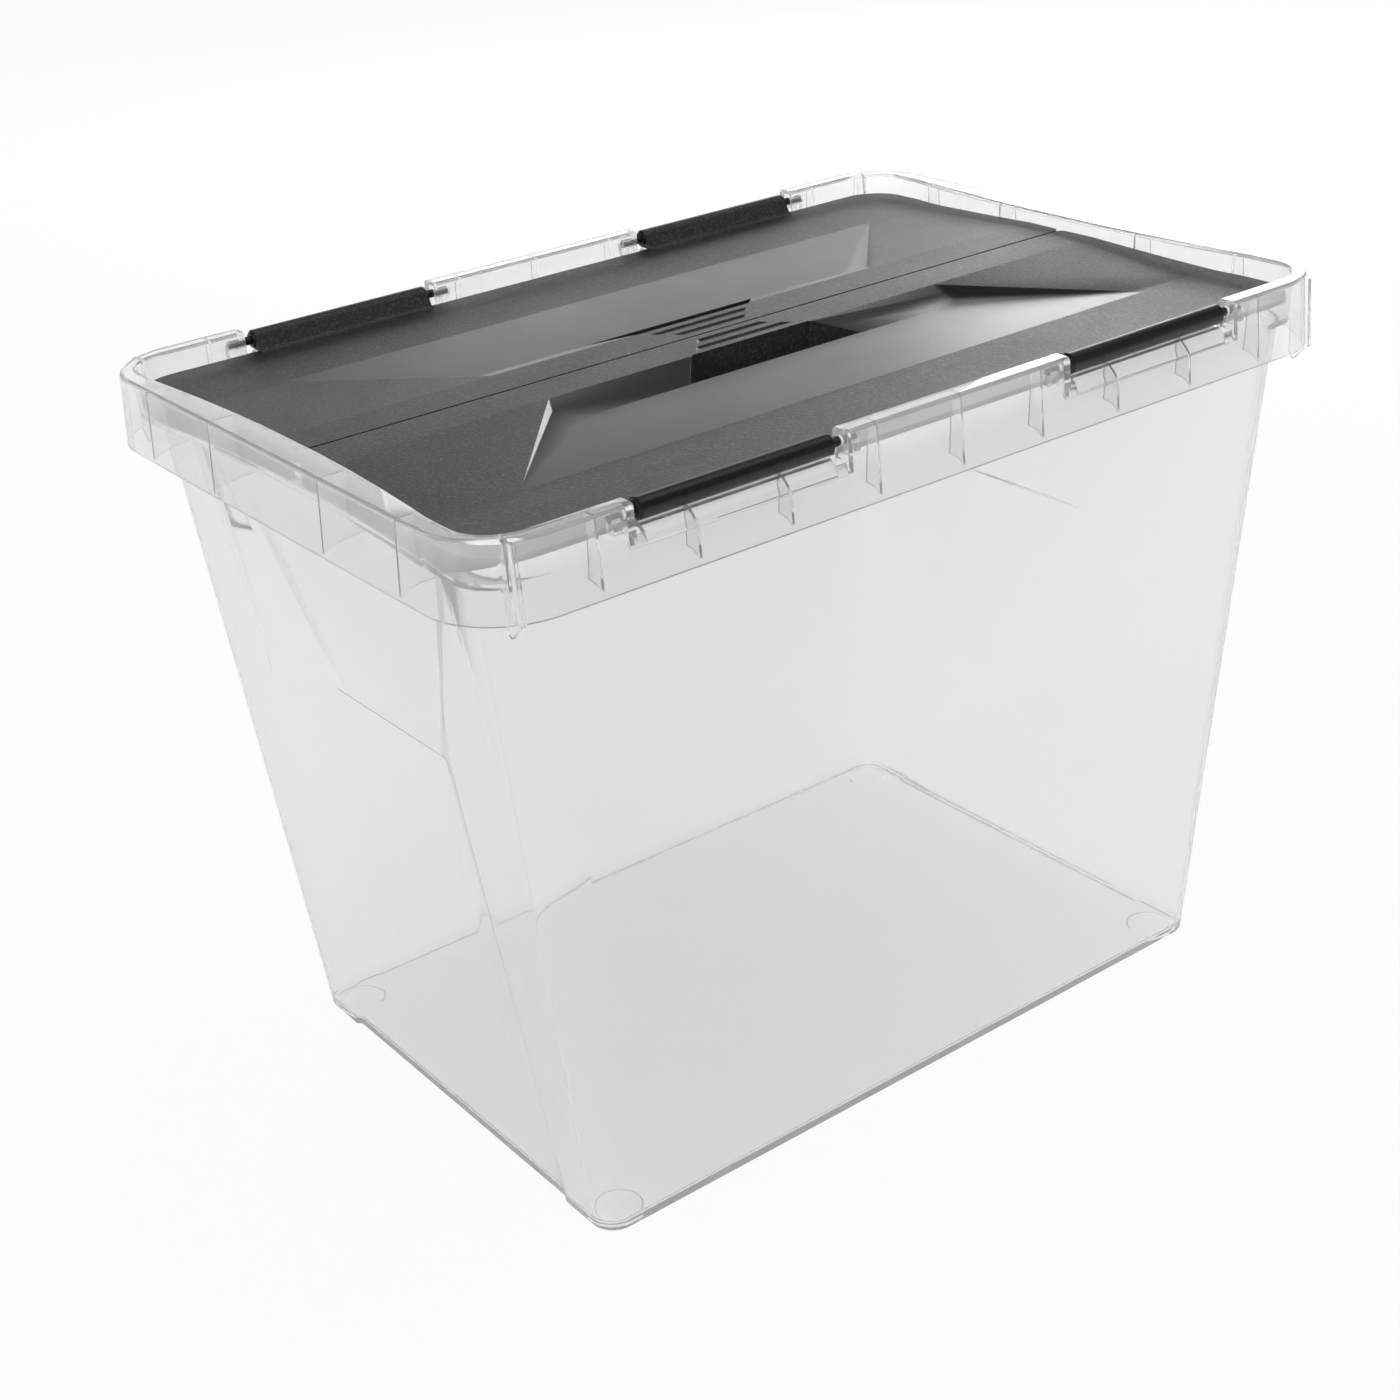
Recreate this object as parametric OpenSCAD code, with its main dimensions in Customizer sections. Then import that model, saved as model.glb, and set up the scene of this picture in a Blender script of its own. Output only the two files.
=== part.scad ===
// Portable file box: a tapered clear tub with a skirted rim, and two lid wings that hinge on its
// long sides and meet over the middle, where a ribbed grip lies between two finger pockets.
// Millimetres. X runs along the long side, Y from front to back, Z up from the table.

/* [Rim] */
// Length of the rim over its top edge
rim_length = 400; // [390:1:420]
// Width of the rim over its top edge
rim_width = 270.7; // [262:0.1:290]
// Height from the table to the top of the rim
box_height = 296.15; // [270:0.05:320]
// Corner radius of the rim, seen from above
rim_corner = 29.5; // [27:0.5:33]
// Height of the skirt that hangs from the rim
skirt_height = 28.3; // [26:0.1:32]
// How far the foot of the skirt stands out beyond the rim's top edge
skirt_flare = 1.55; // [0.5:0.05:2.5]
// Thickness of the skirt and of the rim's flat top
rim_wall = 1.9; // [1.6:0.1:2.2]
// Radius of the rim's two top edges
rim_round = 1.5; // [1.4:0.1:1.8]

/* [Tub walls] */
// Length of the base over its outer faces
base_length = 318.3; // [306:0.1:326]
// Width of the base over its outer faces
base_width = 216.6; // [206:0.1:224]
// Corner radius of the base
base_corner = 10.3; // [8:0.1:13]
// Corner radius of the wall just under the ledge
neck_corner = 20.4; // [18:0.1:22]
// How far the rim stands out beyond the wall on the short sides, at the ledge
end_overhang = 14; // [13.5:0.1:15]
// The same on the long sides
side_overhang = 7.25; // [7.2:0.05:7.5]
// Wall thickness
wall = 1.9; // [1.7:0.1:2]
// Floor thickness
floor_wall = 2.2; // [1.8:0.1:3]
// Chamfer round the foot of the wall
foot_chamfer = 1; // [0.6:0.1:1.6]
// Size of the fillet inside, between floor and walls
bay_fillet = 3; // [2:0.1:4]
// Diameter of the round marks under the base
mark_diameter = 18; // [12:1:22]
// Depth of the round marks
mark_depth = 0.8; // [0.4:0.1:1.2]
// Distance of the round marks from the base's outer faces
mark_inset = 13.5; // [12:0.5:20]

/* [Pinched end panels] */
// Height of the waist, where the sloped upper panel meets the upright lower one
waist_height = 179; // [165:1:190]
// Width of the pinched panel at the waist
waist_width = 80.4; // [70:0.1:90]
// How far the waist lies inside the plane of the end wall
waist_depth = 11.1; // [8:0.1:12]
// Small step at the waist
waist_step = 0.8; // [0.4:0.1:1.4]
// Distance from the base's long faces to the panel's edges at its foot
panel_foot_margin = 29.6; // [28:0.1:33]
// Depth of the panel at its foot
panel_foot_depth = 1.6; // [1:0.1:2.4]
// Distance from the rim's long edges to the panel's edges at the ledge
panel_top_margin = 50.55; // [49.5:0.05:53]
// Depth of the panel at the ledge
panel_top_depth = 3.85; // [3:0.05:4.5]
// Width over the outer creases at the waist
shoulder_waist_width = 140; // [130:1:150]
// How far the outer creases lie beyond the panel at foot and ledge
shoulder_margin = 2; // [1.5:0.1:3]

/* [Ledge and collar] */
// Depth of the ledge below the rim's top
ledge_drop = 16.95; // [16:0.05:18]
// Distance from the rim's short edge to the collar's inner face at the corners
collar_end_margin = 9.4; // [9.2:0.1:10]
// How far the collar bows inwards at the middle of the short sides
collar_bow = 5.1; // [4:0.1:5.5]
// Distance from the rim's long edges to the ends of the bow
bow_margin = 37.35; // [36.5:0.05:45]
// Corner radius of the collar's inner face
collar_corner = 16.2; // [15:0.1:17]
// Draft of the collar, as run over rise
collar_draft = 0.05; // [0.03:0.01:0.07]

/* [Ribs under the rim] */
// Thickness of the ribs between skirt and wall
rib_wall = 1.8; // [1.2:0.1:2.4]
// Number of ribs on each long side, with one in the middle
side_rib_count = 9; // [5:2:9]
// Distance between ribs on the long sides
side_rib_pitch = 38.5; // [37:0.1:39]
// Distance of the inner end ribs from the middle
end_rib_inner = 40; // [36:1:46]
// Distance of the outer end ribs from the middle
end_rib_outer = 90; // [80:1:96]
// How much higher the ribs end at the wall than at the skirt's foot
rib_rise = 4.4; // [3:0.1:6]
// Thickness of the hanging corner ribs
corner_rib_wall = 2.4; // [2:0.1:3]
// Distance of the corner ribs from the rim's short edge
corner_rib_inset = 16; // [14:0.5:19]
// How far the corner ribs hang below the skirt
corner_rib_hang = 5.85; // [4:0.05:7]

/* [Hinges] */
// Distance of each hinge's centre from the middle of the long side
hinge_centre = 96; // [92:1:100]
// Length of the notch in the rim
notch_length = 88; // [84:1:90]
// Length of the barrel in the notch
barrel_length = 81; // [76:1:81]
// Diameter of the barrel
barrel_diameter = 7.8; // [7:0.1:8]
// Diameter of the pins at the barrel's ends
pin_diameter = 3.5; // [3:0.1:4]
// How far the pins reach beyond the walls that carry them
pin_reach = 4.6; // [3:0.1:6]
// Radial clearance of the pins in their holes
pin_clearance = 0.05; // [0.03:0.01:0.08]
// Distance of the hinge axis from the rim's long edge
axis_inset = 5.35; // [5.3:0.05:5.6]
// Depth of the hinge axis below the rim's top
axis_drop = 4.75; // [4.6:0.05:5]
// Thickness of the walls that carry the pins
bearing_wall = 2.2; // [1.8:0.1:2.8]
// Depth of the notch below the rim's top
shelf_drop = 9.15; // [9:0.05:9.4]
// How much further the notch slopes down to the skirt's face
shelf_fall = 3.6; // [2.5:0.1:5]
// Length of the window in the shelf at each end of the notch
window_length = 4.6; // [3:0.1:6]
// Length of the cradle under the end of each pin
cradle_length = 3; // [2:0.1:4]

/* [Lid wings] */
// Thickness of the wings
lid_wall = 2; // [1.8:0.1:2.2]
// Depth of the wings' flat crown below the rim's top
crown_drop = 5.15; // [5:0.05:5.4]
// Width of the flat crown on each wing
crown_width = 18.7; // [17:0.1:20]
// Distance of the outer crease from the middle
crease_distance = 82.3; // [78:0.1:86]
// Fall of the wing between the two creases
crease_fall = 3.1; // [2.6:0.1:3.2]
// Fall of the wing from crown to hinge edge
edge_fall = 3.5; // [3.3:0.1:3.6]
// Gap between the two wings
parting_gap = 1; // [1:0.1:1.6]
// Gap between the wings' short edges and the collar
end_gap = 0.8; // [0.7:0.1:1]
// Gap between the wings' hinge edges and the wall, at the ledge
side_gap = 0.35; // [0.35:0.05:0.5]
// Corner radius of the wings
wing_corner = 17; // [16:0.5:18]
// Clearance of the wings' turned-down lips above the ledge
lip_clearance = 0.3; // [0.3:0.05:0.6]
// Distance from the hinge edge at which the lips start to rise
lip_run = 22.2; // [18:0.1:28]
// Depth of the turned-down edge along the parting line
parting_lip = 6; // [4:0.5:7]
// Chamfer of the wings' corners at the parting line
parting_chamfer = 2; // [1:0.1:3]

/* [Recess in each wing] */
// Half length of the recess along its outer edge
recess_outer = 146.8; // [140:0.1:150]
// Half length of the recess along the crown
recess_inner = 93.8; // [90:0.1:96]
// Half length of the recess floor's inner edge
recess_floor = 89.9; // [86:0.1:90]
// Distance of the recess floor's inner edge from the middle
floor_distance = 34.4; // [33:0.1:36]
// Depth of the recess floor's inner edge below the crown
floor_depth = 4.5; // [4:0.1:5]
// Half length of the recess at the kink in its slanted ends
kink_half = 97.4; // [96.5:0.1:99]
// Where the kink lies between crown and floor
kink_share = 0.47; // [0.4:0.01:0.55]

/* [Grip] */
// Half length of the finger pocket along the crown
pocket_inner = 28.5; // [26:0.1:30]
// Half length of the finger pocket along the recess floor
pocket_outer = 42; // [39:0.1:45]
// Depth of the finger pocket below the crown
pocket_depth = 21; // [16:1:24]
// Thickness of the pocket's walls
pocket_wall = 1.8; // [1.5:0.1:2]
// How much smaller the pocket is at its bottom, each side
pocket_taper = 1.2; // [0.8:0.1:2]
// Width of the grooves in the grip
groove_width = 3; // [2:0.1:3.4]
// Depth of the grooves
groove_depth = 1.1; // [0.6:0.1:1.3]
// Distance of the first groove from the middle
groove_first = 6; // [5.5:0.1:7]
// Distance between the grooves
groove_pitch = 7; // [6:0.1:7]
// Half length of the grip at the middle
grip_half = 13; // [11:0.1:15]
// Growth of the grip's half length with the distance from the middle
grip_slant = 0.83; // [0.7:0.01:0.9]

/* [Hidden] */
$fn = 64;
arc_steps = 8;
panel_steps = 4;
bow_steps = 5;
round_steps = 3;
far = 1000;

half_length = rim_length / 2;
half_width = rim_width / 2;
ledge_z = box_height - ledge_drop;
skirt_foot_z = box_height - skirt_height;
crown_z = box_height - crown_drop;
axis_z = box_height - axis_drop;
axis_y = half_width - axis_inset;
shelf_z = box_height - shelf_drop;

neck_half_x = half_length - end_overhang;
neck_half_y = half_width - side_overhang;
base_half_x = base_length / 2;
base_half_y = base_width / 2;
ledge_slope = 0.5;
collar_half_x = half_length - collar_end_margin;
collar_bow_half = half_width - bow_margin;
collar_bow_radius = collar_bow_half * collar_bow_half / (2 * collar_bow);
panel_foot_half = base_half_y - panel_foot_margin;
panel_top_half = half_width - panel_top_margin;

corner_rib_x = half_length - corner_rib_inset;
rib_overlap = 1.7;
rib_foot_gap = 0.2;

notch_from = hinge_centre - notch_length / 2;
notch_to = hinge_centre + notch_length / 2;
barrel_from = hinge_centre - barrel_length / 2;
barrel_radius = barrel_diameter / 2;
barrel_chamfer = 0.8;
pin_radius = pin_diameter / 2;
bore_radius = pin_radius + pin_clearance;
shelf_flat = 1.2;
notch_run = 10;
clear_of = 5;
cradle_height = 5.5;
cradle_wall = 1;
hole_margin = 0.5;

// the bay at the height of the wings is a little wider than at the ledge
wing_edge = neck_half_y - wall + 0.4 - side_gap;
wing_half_x = collar_half_x + 0.45 - end_gap;
lip_z = ledge_z + lip_clearance;
lip_end = wing_edge - lip_run;
web_overlap = 6;
web_lift = 0.15;
recess_margin = 0.4;
pocket_margin = 0.5;
groove_end = 1.5;

// ---- outlines ----

// share of the way from the table up to the ledge
function rise(z) = z / ledge_z;
function blend(a, b, t) = a + (b - a) * t;
function wall_half_x(z) = blend(base_half_x, neck_half_x, rise(z));
function wall_half_y(z) = blend(base_half_y, neck_half_y, rise(z));
function wall_corner(z) = blend(base_corner, neck_corner, rise(z));

// share of the way from the foot to the waist, and from the waist to the ledge
function lower_share(z) = min(1, z / (waist_height - waist_step));
function upper_share(z) = max(0, (z - waist_height) / (ledge_z - waist_height));
function below_waist(z) = z < waist_height - waist_step / 2;

function panel_half_width(z) = below_waist(z)
    ? blend(panel_foot_half, waist_width / 2, lower_share(z))
    : blend(waist_width / 2, panel_top_half, upper_share(z));
function shoulder_half_width(z) = below_waist(z)
    ? blend(panel_foot_half + shoulder_margin, shoulder_waist_width / 2, lower_share(z))
    : blend(shoulder_waist_width / 2, panel_top_half + shoulder_margin, upper_share(z));
waist_x = wall_half_x(waist_height) - waist_depth;
function panel_x(z) = below_waist(z)
    ? blend(base_half_x - panel_foot_depth, waist_x - waist_step, lower_share(z))
    : blend(waist_x, neck_half_x - panel_top_depth, upper_share(z));

function arc(cx, cy, r) = [for (i = [0:arc_steps]) let (a = 90 * i / arc_steps)
    [cx + r * cos(a), cy + r * sin(a)]];

// a full ring at height z from the quarter with x > 0 and y > 0
function whole(quarter, z) = [
    for (p = quarter) [p.x, p.y, z],
    for (i = [len(quarter) - 1:-1:0]) [-quarter[i].x, quarter[i].y, z],
    for (p = quarter) [-p.x, -p.y, z],
    for (i = [len(quarter) - 1:-1:0]) [quarter[i].x, -quarter[i].y, z]
];

// wall of the tub below the ledge, inset by d
function wall_ring(z, d) = whole(concat(
    [for (i = [1:panel_steps]) [panel_x(z) - d, panel_half_width(z) * i / panel_steps]],
    [[wall_half_x(z) - d, shoulder_half_width(z)]],
    arc(wall_half_x(z) - wall_corner(z), wall_half_y(z) - wall_corner(z), wall_corner(z) - d)
), z);

// collar between ledge and rim, d outside its inner face
function collar_x(z, y) = collar_half_x + collar_draft * (z - ledge_z)
    - collar_bow + min(collar_bow, y * y / (2 * collar_bow_radius));
function collar_ring(z, d) = let (
    cx = collar_x(z, far) - collar_corner,
    cy = wall_half_y(z) - wall - collar_corner
) whole(concat(
    [for (i = [1:panel_steps]) let (y = panel_top_half * i / panel_steps)
        [collar_x(z, y) + d, y]],
    [[collar_x(z, collar_bow_half) + d, collar_bow_half]],
    arc(cx, cy, collar_corner + d)
), z);

// outline of the rim, d inside its top edge
function rim_ring(z, d) = whole(
    arc(half_length - rim_corner, half_width - rim_corner, rim_corner - d), z);
function flare(z) = skirt_flare * (box_height - z) / skirt_height;

// a, b, c and d lie in one plane
function in_plane(a, b, c, d) = abs((d - a) * cross(b - a, c - a)) < 0.0001;

// one side of a loft between corners a, b of the lower ring and c, d of the upper one
function side(p, a, b, c, d) = in_plane(p[a], p[b], p[c], p[d])
    ? [[d, c, b, a]]
    : [[d, c, a], [c, b, a]];

module loft(rings) {
    n = len(rings[0]);
    top = (len(rings) - 1) * n;
    p = [for (r = rings) each r];
    polyhedron(
        points = p,
        faces = concat(
            [[for (i = [0:n - 1]) i]],
            [for (k = [0:n:top - n]) for (i = [0:n - 1])
                each side(p, k + i, k + (i + 1) % n, k + n + (i + 1) % n, k + n + i)],
            [[for (i = [n - 1:-1:0]) top + i]]
        ),
        convexity = 6
    );
}

// a profile in Y and Z, drawn out along X
module along_x(from, to) {
    translate([from, 0, 0])
        rotate([90, 0, 90])
            linear_extrude(to - from)
                children();
}

// a profile in X and Z, drawn out along Y by t about the middle
module across_y(y, t) {
    translate([0, y + t / 2, 0])
        rotate([90, 0, 0])
            linear_extrude(t)
                children();
}

module both_x() {
    children();
    mirror([1, 0, 0])
        children();
}

module both_y() {
    children();
    mirror([0, 1, 0])
        children();
}

// a thin-walled moulding as one surface, so that round holes and pins can be added to it
module one_surface() {
    resize([0, 0, 0])
        children();
}

// ---- tub ----

module tub_outside() {
    loft([
        wall_ring(0, foot_chamfer),
        wall_ring(foot_chamfer, 0),
        wall_ring(waist_height - waist_step, 0),
        wall_ring(waist_height, 0),
        wall_ring(ledge_z - wall - ledge_slope, 0),
        collar_ring(ledge_z - wall, wall),
        collar_ring(box_height - rim_wall / 2, wall)
    ]);
}

module tub_bay() {
    loft(concat(
        [
            wall_ring(floor_wall, wall + bay_fillet),
            wall_ring(floor_wall + bay_fillet / 3, wall + bay_fillet / 3),
            wall_ring(floor_wall + bay_fillet, wall),
            wall_ring(waist_height - waist_step, wall),
            wall_ring(waist_height, wall),
            wall_ring(ledge_z - ledge_slope, wall),
            collar_ring(ledge_z, 0)
        ],
        [for (i = [0:round_steps - 1]) let (a = 90 * i / round_steps)
            collar_ring(box_height - rim_round * (1 - sin(a)), rim_round * (1 - cos(a)))],
        [collar_ring(box_height + rim_round * (1 - sin(90 - 90 / round_steps)),
            rim_round * (1 + cos(90 - 90 / round_steps)))]
    ));
}

module rim() {
    difference() {
        loft(concat(
            [rim_ring(skirt_foot_z, -skirt_flare)],
            [for (i = [0:round_steps])
                let (a = 90 * i / round_steps, z = box_height - rim_round * (1 - sin(a)))
                rim_ring(z, rim_round * (1 - cos(a)) - flare(z))]
        ));
        loft([
            rim_ring(skirt_foot_z - 1, rim_wall - flare(skirt_foot_z - 1)),
            rim_ring(box_height - rim_wall, rim_wall - flare(box_height - rim_wall))
        ]);
    }
}

// profile of a rib from the wall at run w to the skirt's middle at run s, with a hollow lower edge
module rib_profile(w, s) {
    top = box_height - rim_wall / 2;
    foot = skirt_foot_z + rib_foot_gap;
    face = s - rim_wall / 2;
    bend = [for (t = [0, 0.5, 0.75, 0.95]) [blend(w, face, t), foot + rib_rise * sqrt(1 - t * t)]];
    polygon(concat(
        [[w - 2 * wall, top], [w - 2 * wall, foot + rib_rise + rib_foot_gap]],
        bend,
        [[face, foot], [s, foot], [s - skirt_flare, top]]
    ));
}

module side_ribs() {
    last = (side_rib_count - 1) / 2;
    for (k = [-last:last])
        along_x(k * side_rib_pitch - rib_wall / 2, k * side_rib_pitch + rib_wall / 2)
            rib_profile(wall_half_y(ledge_z), half_width + skirt_flare - rim_wall / 2);
}

module end_ribs() {
    for (y = [-end_rib_outer, -end_rib_inner, end_rib_inner, end_rib_outer])
        across_y(y, rib_wall)
            rib_profile(panel_x(ledge_z) + wall, half_length + skirt_flare - rim_wall / 2);
}

// the corner ribs run into the wall, and their lower end is a blunt hook beside it
module corner_rib() {
    inner = wall_half_y(ledge_z) - rib_overlap;
    outer = half_width + skirt_flare - rim_wall / 2;
    top = box_height - rim_wall / 2;
    along_x(corner_rib_x - corner_rib_wall / 2, corner_rib_x + corner_rib_wall / 2)
        polygon([
            [inner - 2 * rib_overlap, top],
            [inner - 2 * rib_overlap, ledge_z - wall / 2],
            [inner, ledge_z - wall],
            [inner, skirt_foot_z - corner_rib_hang / 2],
            [inner + rib_overlap, skirt_foot_z - corner_rib_hang],
            [inner + 1.5 * rib_overlap, skirt_foot_z - corner_rib_hang],
            [outer - rib_overlap, skirt_foot_z - rib_foot_gap],
            [outer, skirt_foot_z + rib_foot_gap],
            [outer - skirt_flare, top]
        ]);
}

// everything that the notch takes away from the rim
module notch() {
    outside = half_width + clear_of;
    above = box_height + clear_of;
    along_x(notch_from, notch_to)
        polygon([
            [axis_y - notch_run, shelf_z],
            [axis_y + shelf_flat, shelf_z],
            [half_width + skirt_flare, shelf_z - shelf_fall],
            [outside, shelf_z - shelf_fall],
            [outside, above],
            [axis_y - notch_run, above]
        ]);
    window(notch_from);
    window(notch_to - window_length);
}

// hole through the shelf beside a wall that carries a pin, from under the pin out to the skirt
module window(from) {
    inner = axis_y - pin_radius;
    outer = half_width + skirt_flare / 2 - rim_wall - rib_foot_gap;
    low = shelf_z - shelf_fall - 2 * wall;
    translate([from, inner, low])
        cube([window_length, outer - inner, shelf_z + wall - low]);
}

// block that the notch is cut from: what is left is its sloped shelf and the walls at its ends
module hinge_block() {
    inner = wall_half_y(shelf_z) - wall / 2;
    outer = half_width - rim_wall / 2;
    top = box_height - rim_wall / 2;
    along_x(notch_from - bearing_wall, notch_to + bearing_wall)
        polygon([
            [inner, shelf_z - wall],
            [axis_y + shelf_flat / 2, shelf_z - wall],
            [outer + flare(shelf_z), shelf_z - shelf_fall - 0.8 * wall],
            [outer, top],
            [inner, top]
        ]);
}

// block on the wall that reaches under a pin's end, as high as the pin's axis
module cradle(from) {
    inner = wall_half_y(shelf_z) - wall / 2;
    translate([from, inner, axis_z - cradle_height])
        cube([cradle_length, axis_y + bore_radius + cradle_wall - inner, cradle_height]);
}

module pin_hole(from, to) {
    translate([from, axis_y, axis_z])
        rotate([0, 90, 0])
            cylinder(r = bore_radius, h = to - from);
}

module tub_solid() {
    tub_outside();
    rim();
    both_y()
        side_ribs();
    both_x()
        end_ribs();
    both_x()
        both_y()
            corner_rib();
    both_x()
        both_y() {
            hinge_block();
            cradle(notch_from - bearing_wall - pin_reach);
            cradle(notch_to + bearing_wall + pin_reach - cradle_length);
        }
}

module tub_shell() {
    difference() {
        tub_solid();
        tub_bay();
        both_x()
            both_y()
                notch();
    }
}

module tub() {
    color([0.86, 0.88, 0.9, 0.45])
        difference() {
            one_surface()
                tub_shell();
            both_x()
                both_y() {
                    pin_hole(notch_from - bearing_wall - pin_reach - hole_margin, notch_from + hole_margin);
                    pin_hole(notch_to - hole_margin, notch_to + bearing_wall + pin_reach + hole_margin);
                    translate([base_half_x - mark_inset, base_half_y - mark_inset, -1])
                        cylinder(d = mark_diameter, h = mark_depth + 1);
                }
        }
}

// ---- wings ----

function crown_at(y) = y < crown_width
    ? crown_z
    : y < crease_distance
    ? crown_z - crease_fall * (y - crown_width) / (crease_distance - crown_width)
    : crown_z - crease_fall
        - (edge_fall - crease_fall) * (y - crease_distance) / (wing_edge - crease_distance);

// half the length of a wing at distance y from the middle, drawn in by d
function wing_x(y, d) = wing_half_x - d - collar_bow
    + min(collar_bow, y * y / (2 * collar_bow_radius));

// quarter of the plan from the parting line round the corner to the hinge edge
function wing_quarter(d) = let (
    near = parting_gap / 2 + d,
    first = near + parting_chamfer
) concat(
    [[wing_x(near, d) - parting_chamfer, near]],
    [for (i = [0:bow_steps]) let (y = blend(first, collar_bow_half, i / bow_steps)) [wing_x(y, d), y]],
    arc(wing_half_x - wing_corner, wing_edge - wing_corner, wing_corner - d)
);

// plan of one wing on the side y > 0, drawn in by d
module wing_outline(d) {
    quarter = wing_quarter(d);
    polygon(concat(
        quarter,
        [for (i = [len(quarter) - 1:-1:0]) [-quarter[i].x, quarter[i].y]]
    ));
}

// all that lies under the middle of the plate, down to the height low
module below_plate(low) {
    mid = lid_wall / 2;
    along_x(-half_length, half_length)
        polygon([
            [0, low],
            [0, crown_z - mid],
            [crown_width, crown_z - mid],
            [crease_distance, crown_at(crease_distance) - mid],
            [wing_edge + 1, crown_at(wing_edge + 1) - mid],
            [wing_edge + 1, low]
        ]);
}

module plate() {
    beyond = wing_edge + 1;
    intersection() {
        translate([0, 0, lip_z])
            linear_extrude(ledge_drop)
                wing_outline(0);
        along_x(-half_length, half_length)
            polygon([
                [0, crown_z - lid_wall],
                [0, crown_z],
                [crown_width, crown_z],
                [crease_distance, crown_at(crease_distance)],
                [beyond, crown_at(beyond)],
                [beyond, crown_at(beyond) - lid_wall],
                [crease_distance, crown_at(crease_distance) - lid_wall],
                [crown_width, crown_z - lid_wall]
            ]);
    }
}

module lips() {
    depth = lid_wall * 0.6;
    beyond = wing_edge + 1;
    step_y = parting_gap / 2 + 2 * lid_wall;
    intersection() {
        translate([0, 0, lip_z - 1])
            linear_extrude(ledge_drop)
                difference() {
                    wing_outline(0);
                    wing_outline(lid_wall);
                }
        along_x(-half_length, half_length)
            polygon([
                [0, crown_z - parting_lip],
                [0, crown_z - depth],
                [crown_width, crown_z - depth],
                [crease_distance, crown_at(crease_distance) - depth],
                [beyond, crown_at(beyond) - depth],
                [lip_end, lip_z],
                [step_y, lip_z],
                [step_y, crown_z - parting_lip]
            ]);
    }
}

// the space of the recess, open at the top
module recess_space() {
    inner_y = crown_width + recess_margin;
    outer_y = crease_distance - recess_margin;
    inner = [recess_inner, inner_y, crown_at(inner_y)];
    outer = [recess_outer, outer_y, crown_at(outer_y)];
    deep = [recess_floor, floor_distance, crown_z - floor_depth];
    kink = [kink_half, blend(inner_y, floor_distance, kink_share), blend(inner.z, deep.z, kink_share)];
    // the slopes run on a little beyond the plate, so that they cut its top cleanly
    outer_end = blend(deep, outer, 1.08);
    inner_end = blend(kink, inner, 1.2);
    high = crown_z + clear_of;
    right = [
        outer_end,
        inner_end,
        deep,
        kink,
        [outer_end.x, outer_end.y, high],
        [inner_end.x, inner_end.y, high]
    ];
    polyhedron(
        points = concat(right, [for (p = right) [-p.x, p.y, p.z]]),
        faces = [
            [6, 8, 2, 0],
            [8, 9, 3, 2],
            [9, 7, 1, 3],
            [0, 2, 3],
            [6, 9, 8],
            [0, 3, 1],
            [6, 7, 9],
            [10, 4, 5, 11],
            [6, 0, 4, 10],
            [7, 11, 5, 1],
            [0, 1, 5, 4],
            [6, 10, 11, 7]
        ]
    );
}

// the finger pocket grown by g, between heights low and high
module pocket_space(g, low, high) {
    floor_y = floor_distance + g;
    crown_y = crown_width - pocket_margin - g;
    points_at = function (t) [
        [-pocket_inner - g + t, crown_y + t / 2],
        [pocket_inner + g - t, crown_y + t / 2],
        [pocket_outer + g - t, floor_y - t],
        [-pocket_outer - g + t, floor_y - t]
    ];
    loft([
        [for (p = points_at(pocket_taper)) [p.x, p.y, low]],
        [for (p = points_at(0)) [p.x, p.y, high]]
    ]);
}

module groove(y) {
    half = groove_width / 2;
    // four corners at height d above the crown, wider by d on every side
    corners = function (d) let (
        inner = grip_half + grip_slant * (y - half) - groove_end + d,
        outer = grip_half + grip_slant * (y + half) - groove_end + d
    ) [
        [-inner, y - half - d / 2, crown_z + d],
        [inner, y - half - d / 2, crown_z + d],
        [outer, y + half + d / 2, crown_z + d],
        [-outer, y + half + d / 2, crown_z + d]
    ];
    loft([corners(-groove_depth), corners(groove_depth)]);
}

// barrel with its pins, and the web that carries it
module hinge() {
    translate([barrel_from, axis_y, axis_z])
        rotate([0, 90, 0]) {
            cylinder(r1 = barrel_radius - barrel_chamfer, r2 = barrel_radius, h = barrel_chamfer);
            translate([0, 0, barrel_chamfer])
                cylinder(r = barrel_radius, h = barrel_length - 2 * barrel_chamfer);
            translate([0, 0, barrel_length - barrel_chamfer])
                cylinder(r1 = barrel_radius, r2 = barrel_radius - barrel_chamfer, h = barrel_chamfer);
        }
    translate([notch_from - bearing_wall - pin_reach, axis_y, axis_z])
        rotate([0, 90, 0])
            cylinder(r = pin_radius, h = notch_length + 2 * (bearing_wall + pin_reach));
    along_x(barrel_from + barrel_chamfer, barrel_from + barrel_length - barrel_chamfer)
        web_profile();
}

// the web rises from the plate's edge in a hollow curve and runs into the barrel
module web_profile() {
    edge_z = crown_at(wing_edge);
    start = wing_edge - web_overlap;
    end = axis_y - 0.9 * barrel_radius;
    lift = axis_z + 0.3 * barrel_radius - edge_z;
    polygon(concat(
        [[start, edge_z - lid_wall / 2]],
        [for (t = [0.1:0.3:1]) [blend(start, end, t), edge_z - lid_wall / 4 + (lift + lid_wall / 4) * pow(t, 3)]],
        [
            [axis_y, axis_z],
            [axis_y - 0.3 * barrel_radius, axis_z - 0.9 * barrel_radius],
            [wing_edge, edge_z + web_lift],
            [wing_edge, edge_z - lid_wall / 2]
        ]
    ));
}

module wing_body() {
    difference() {
        union() {
            plate();
            lips();
            intersection() {
                below_plate(ledge_z);
                translate([0, 0, -lid_wall])
                    recess_space();
            }
            intersection() {
                below_plate(ledge_z - ledge_drop);
                pocket_space(pocket_wall, crown_z - pocket_depth - pocket_wall, crown_z + 1);
            }
        }
        recess_space();
        pocket_space(0, crown_z - pocket_depth, crown_z + 1);
        for (k = [0:1])
            groove(groove_first + k * groove_pitch);
    }
}

module wing() {
    one_surface()
        wing_body();
    both_x()
        hinge();
}

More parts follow.
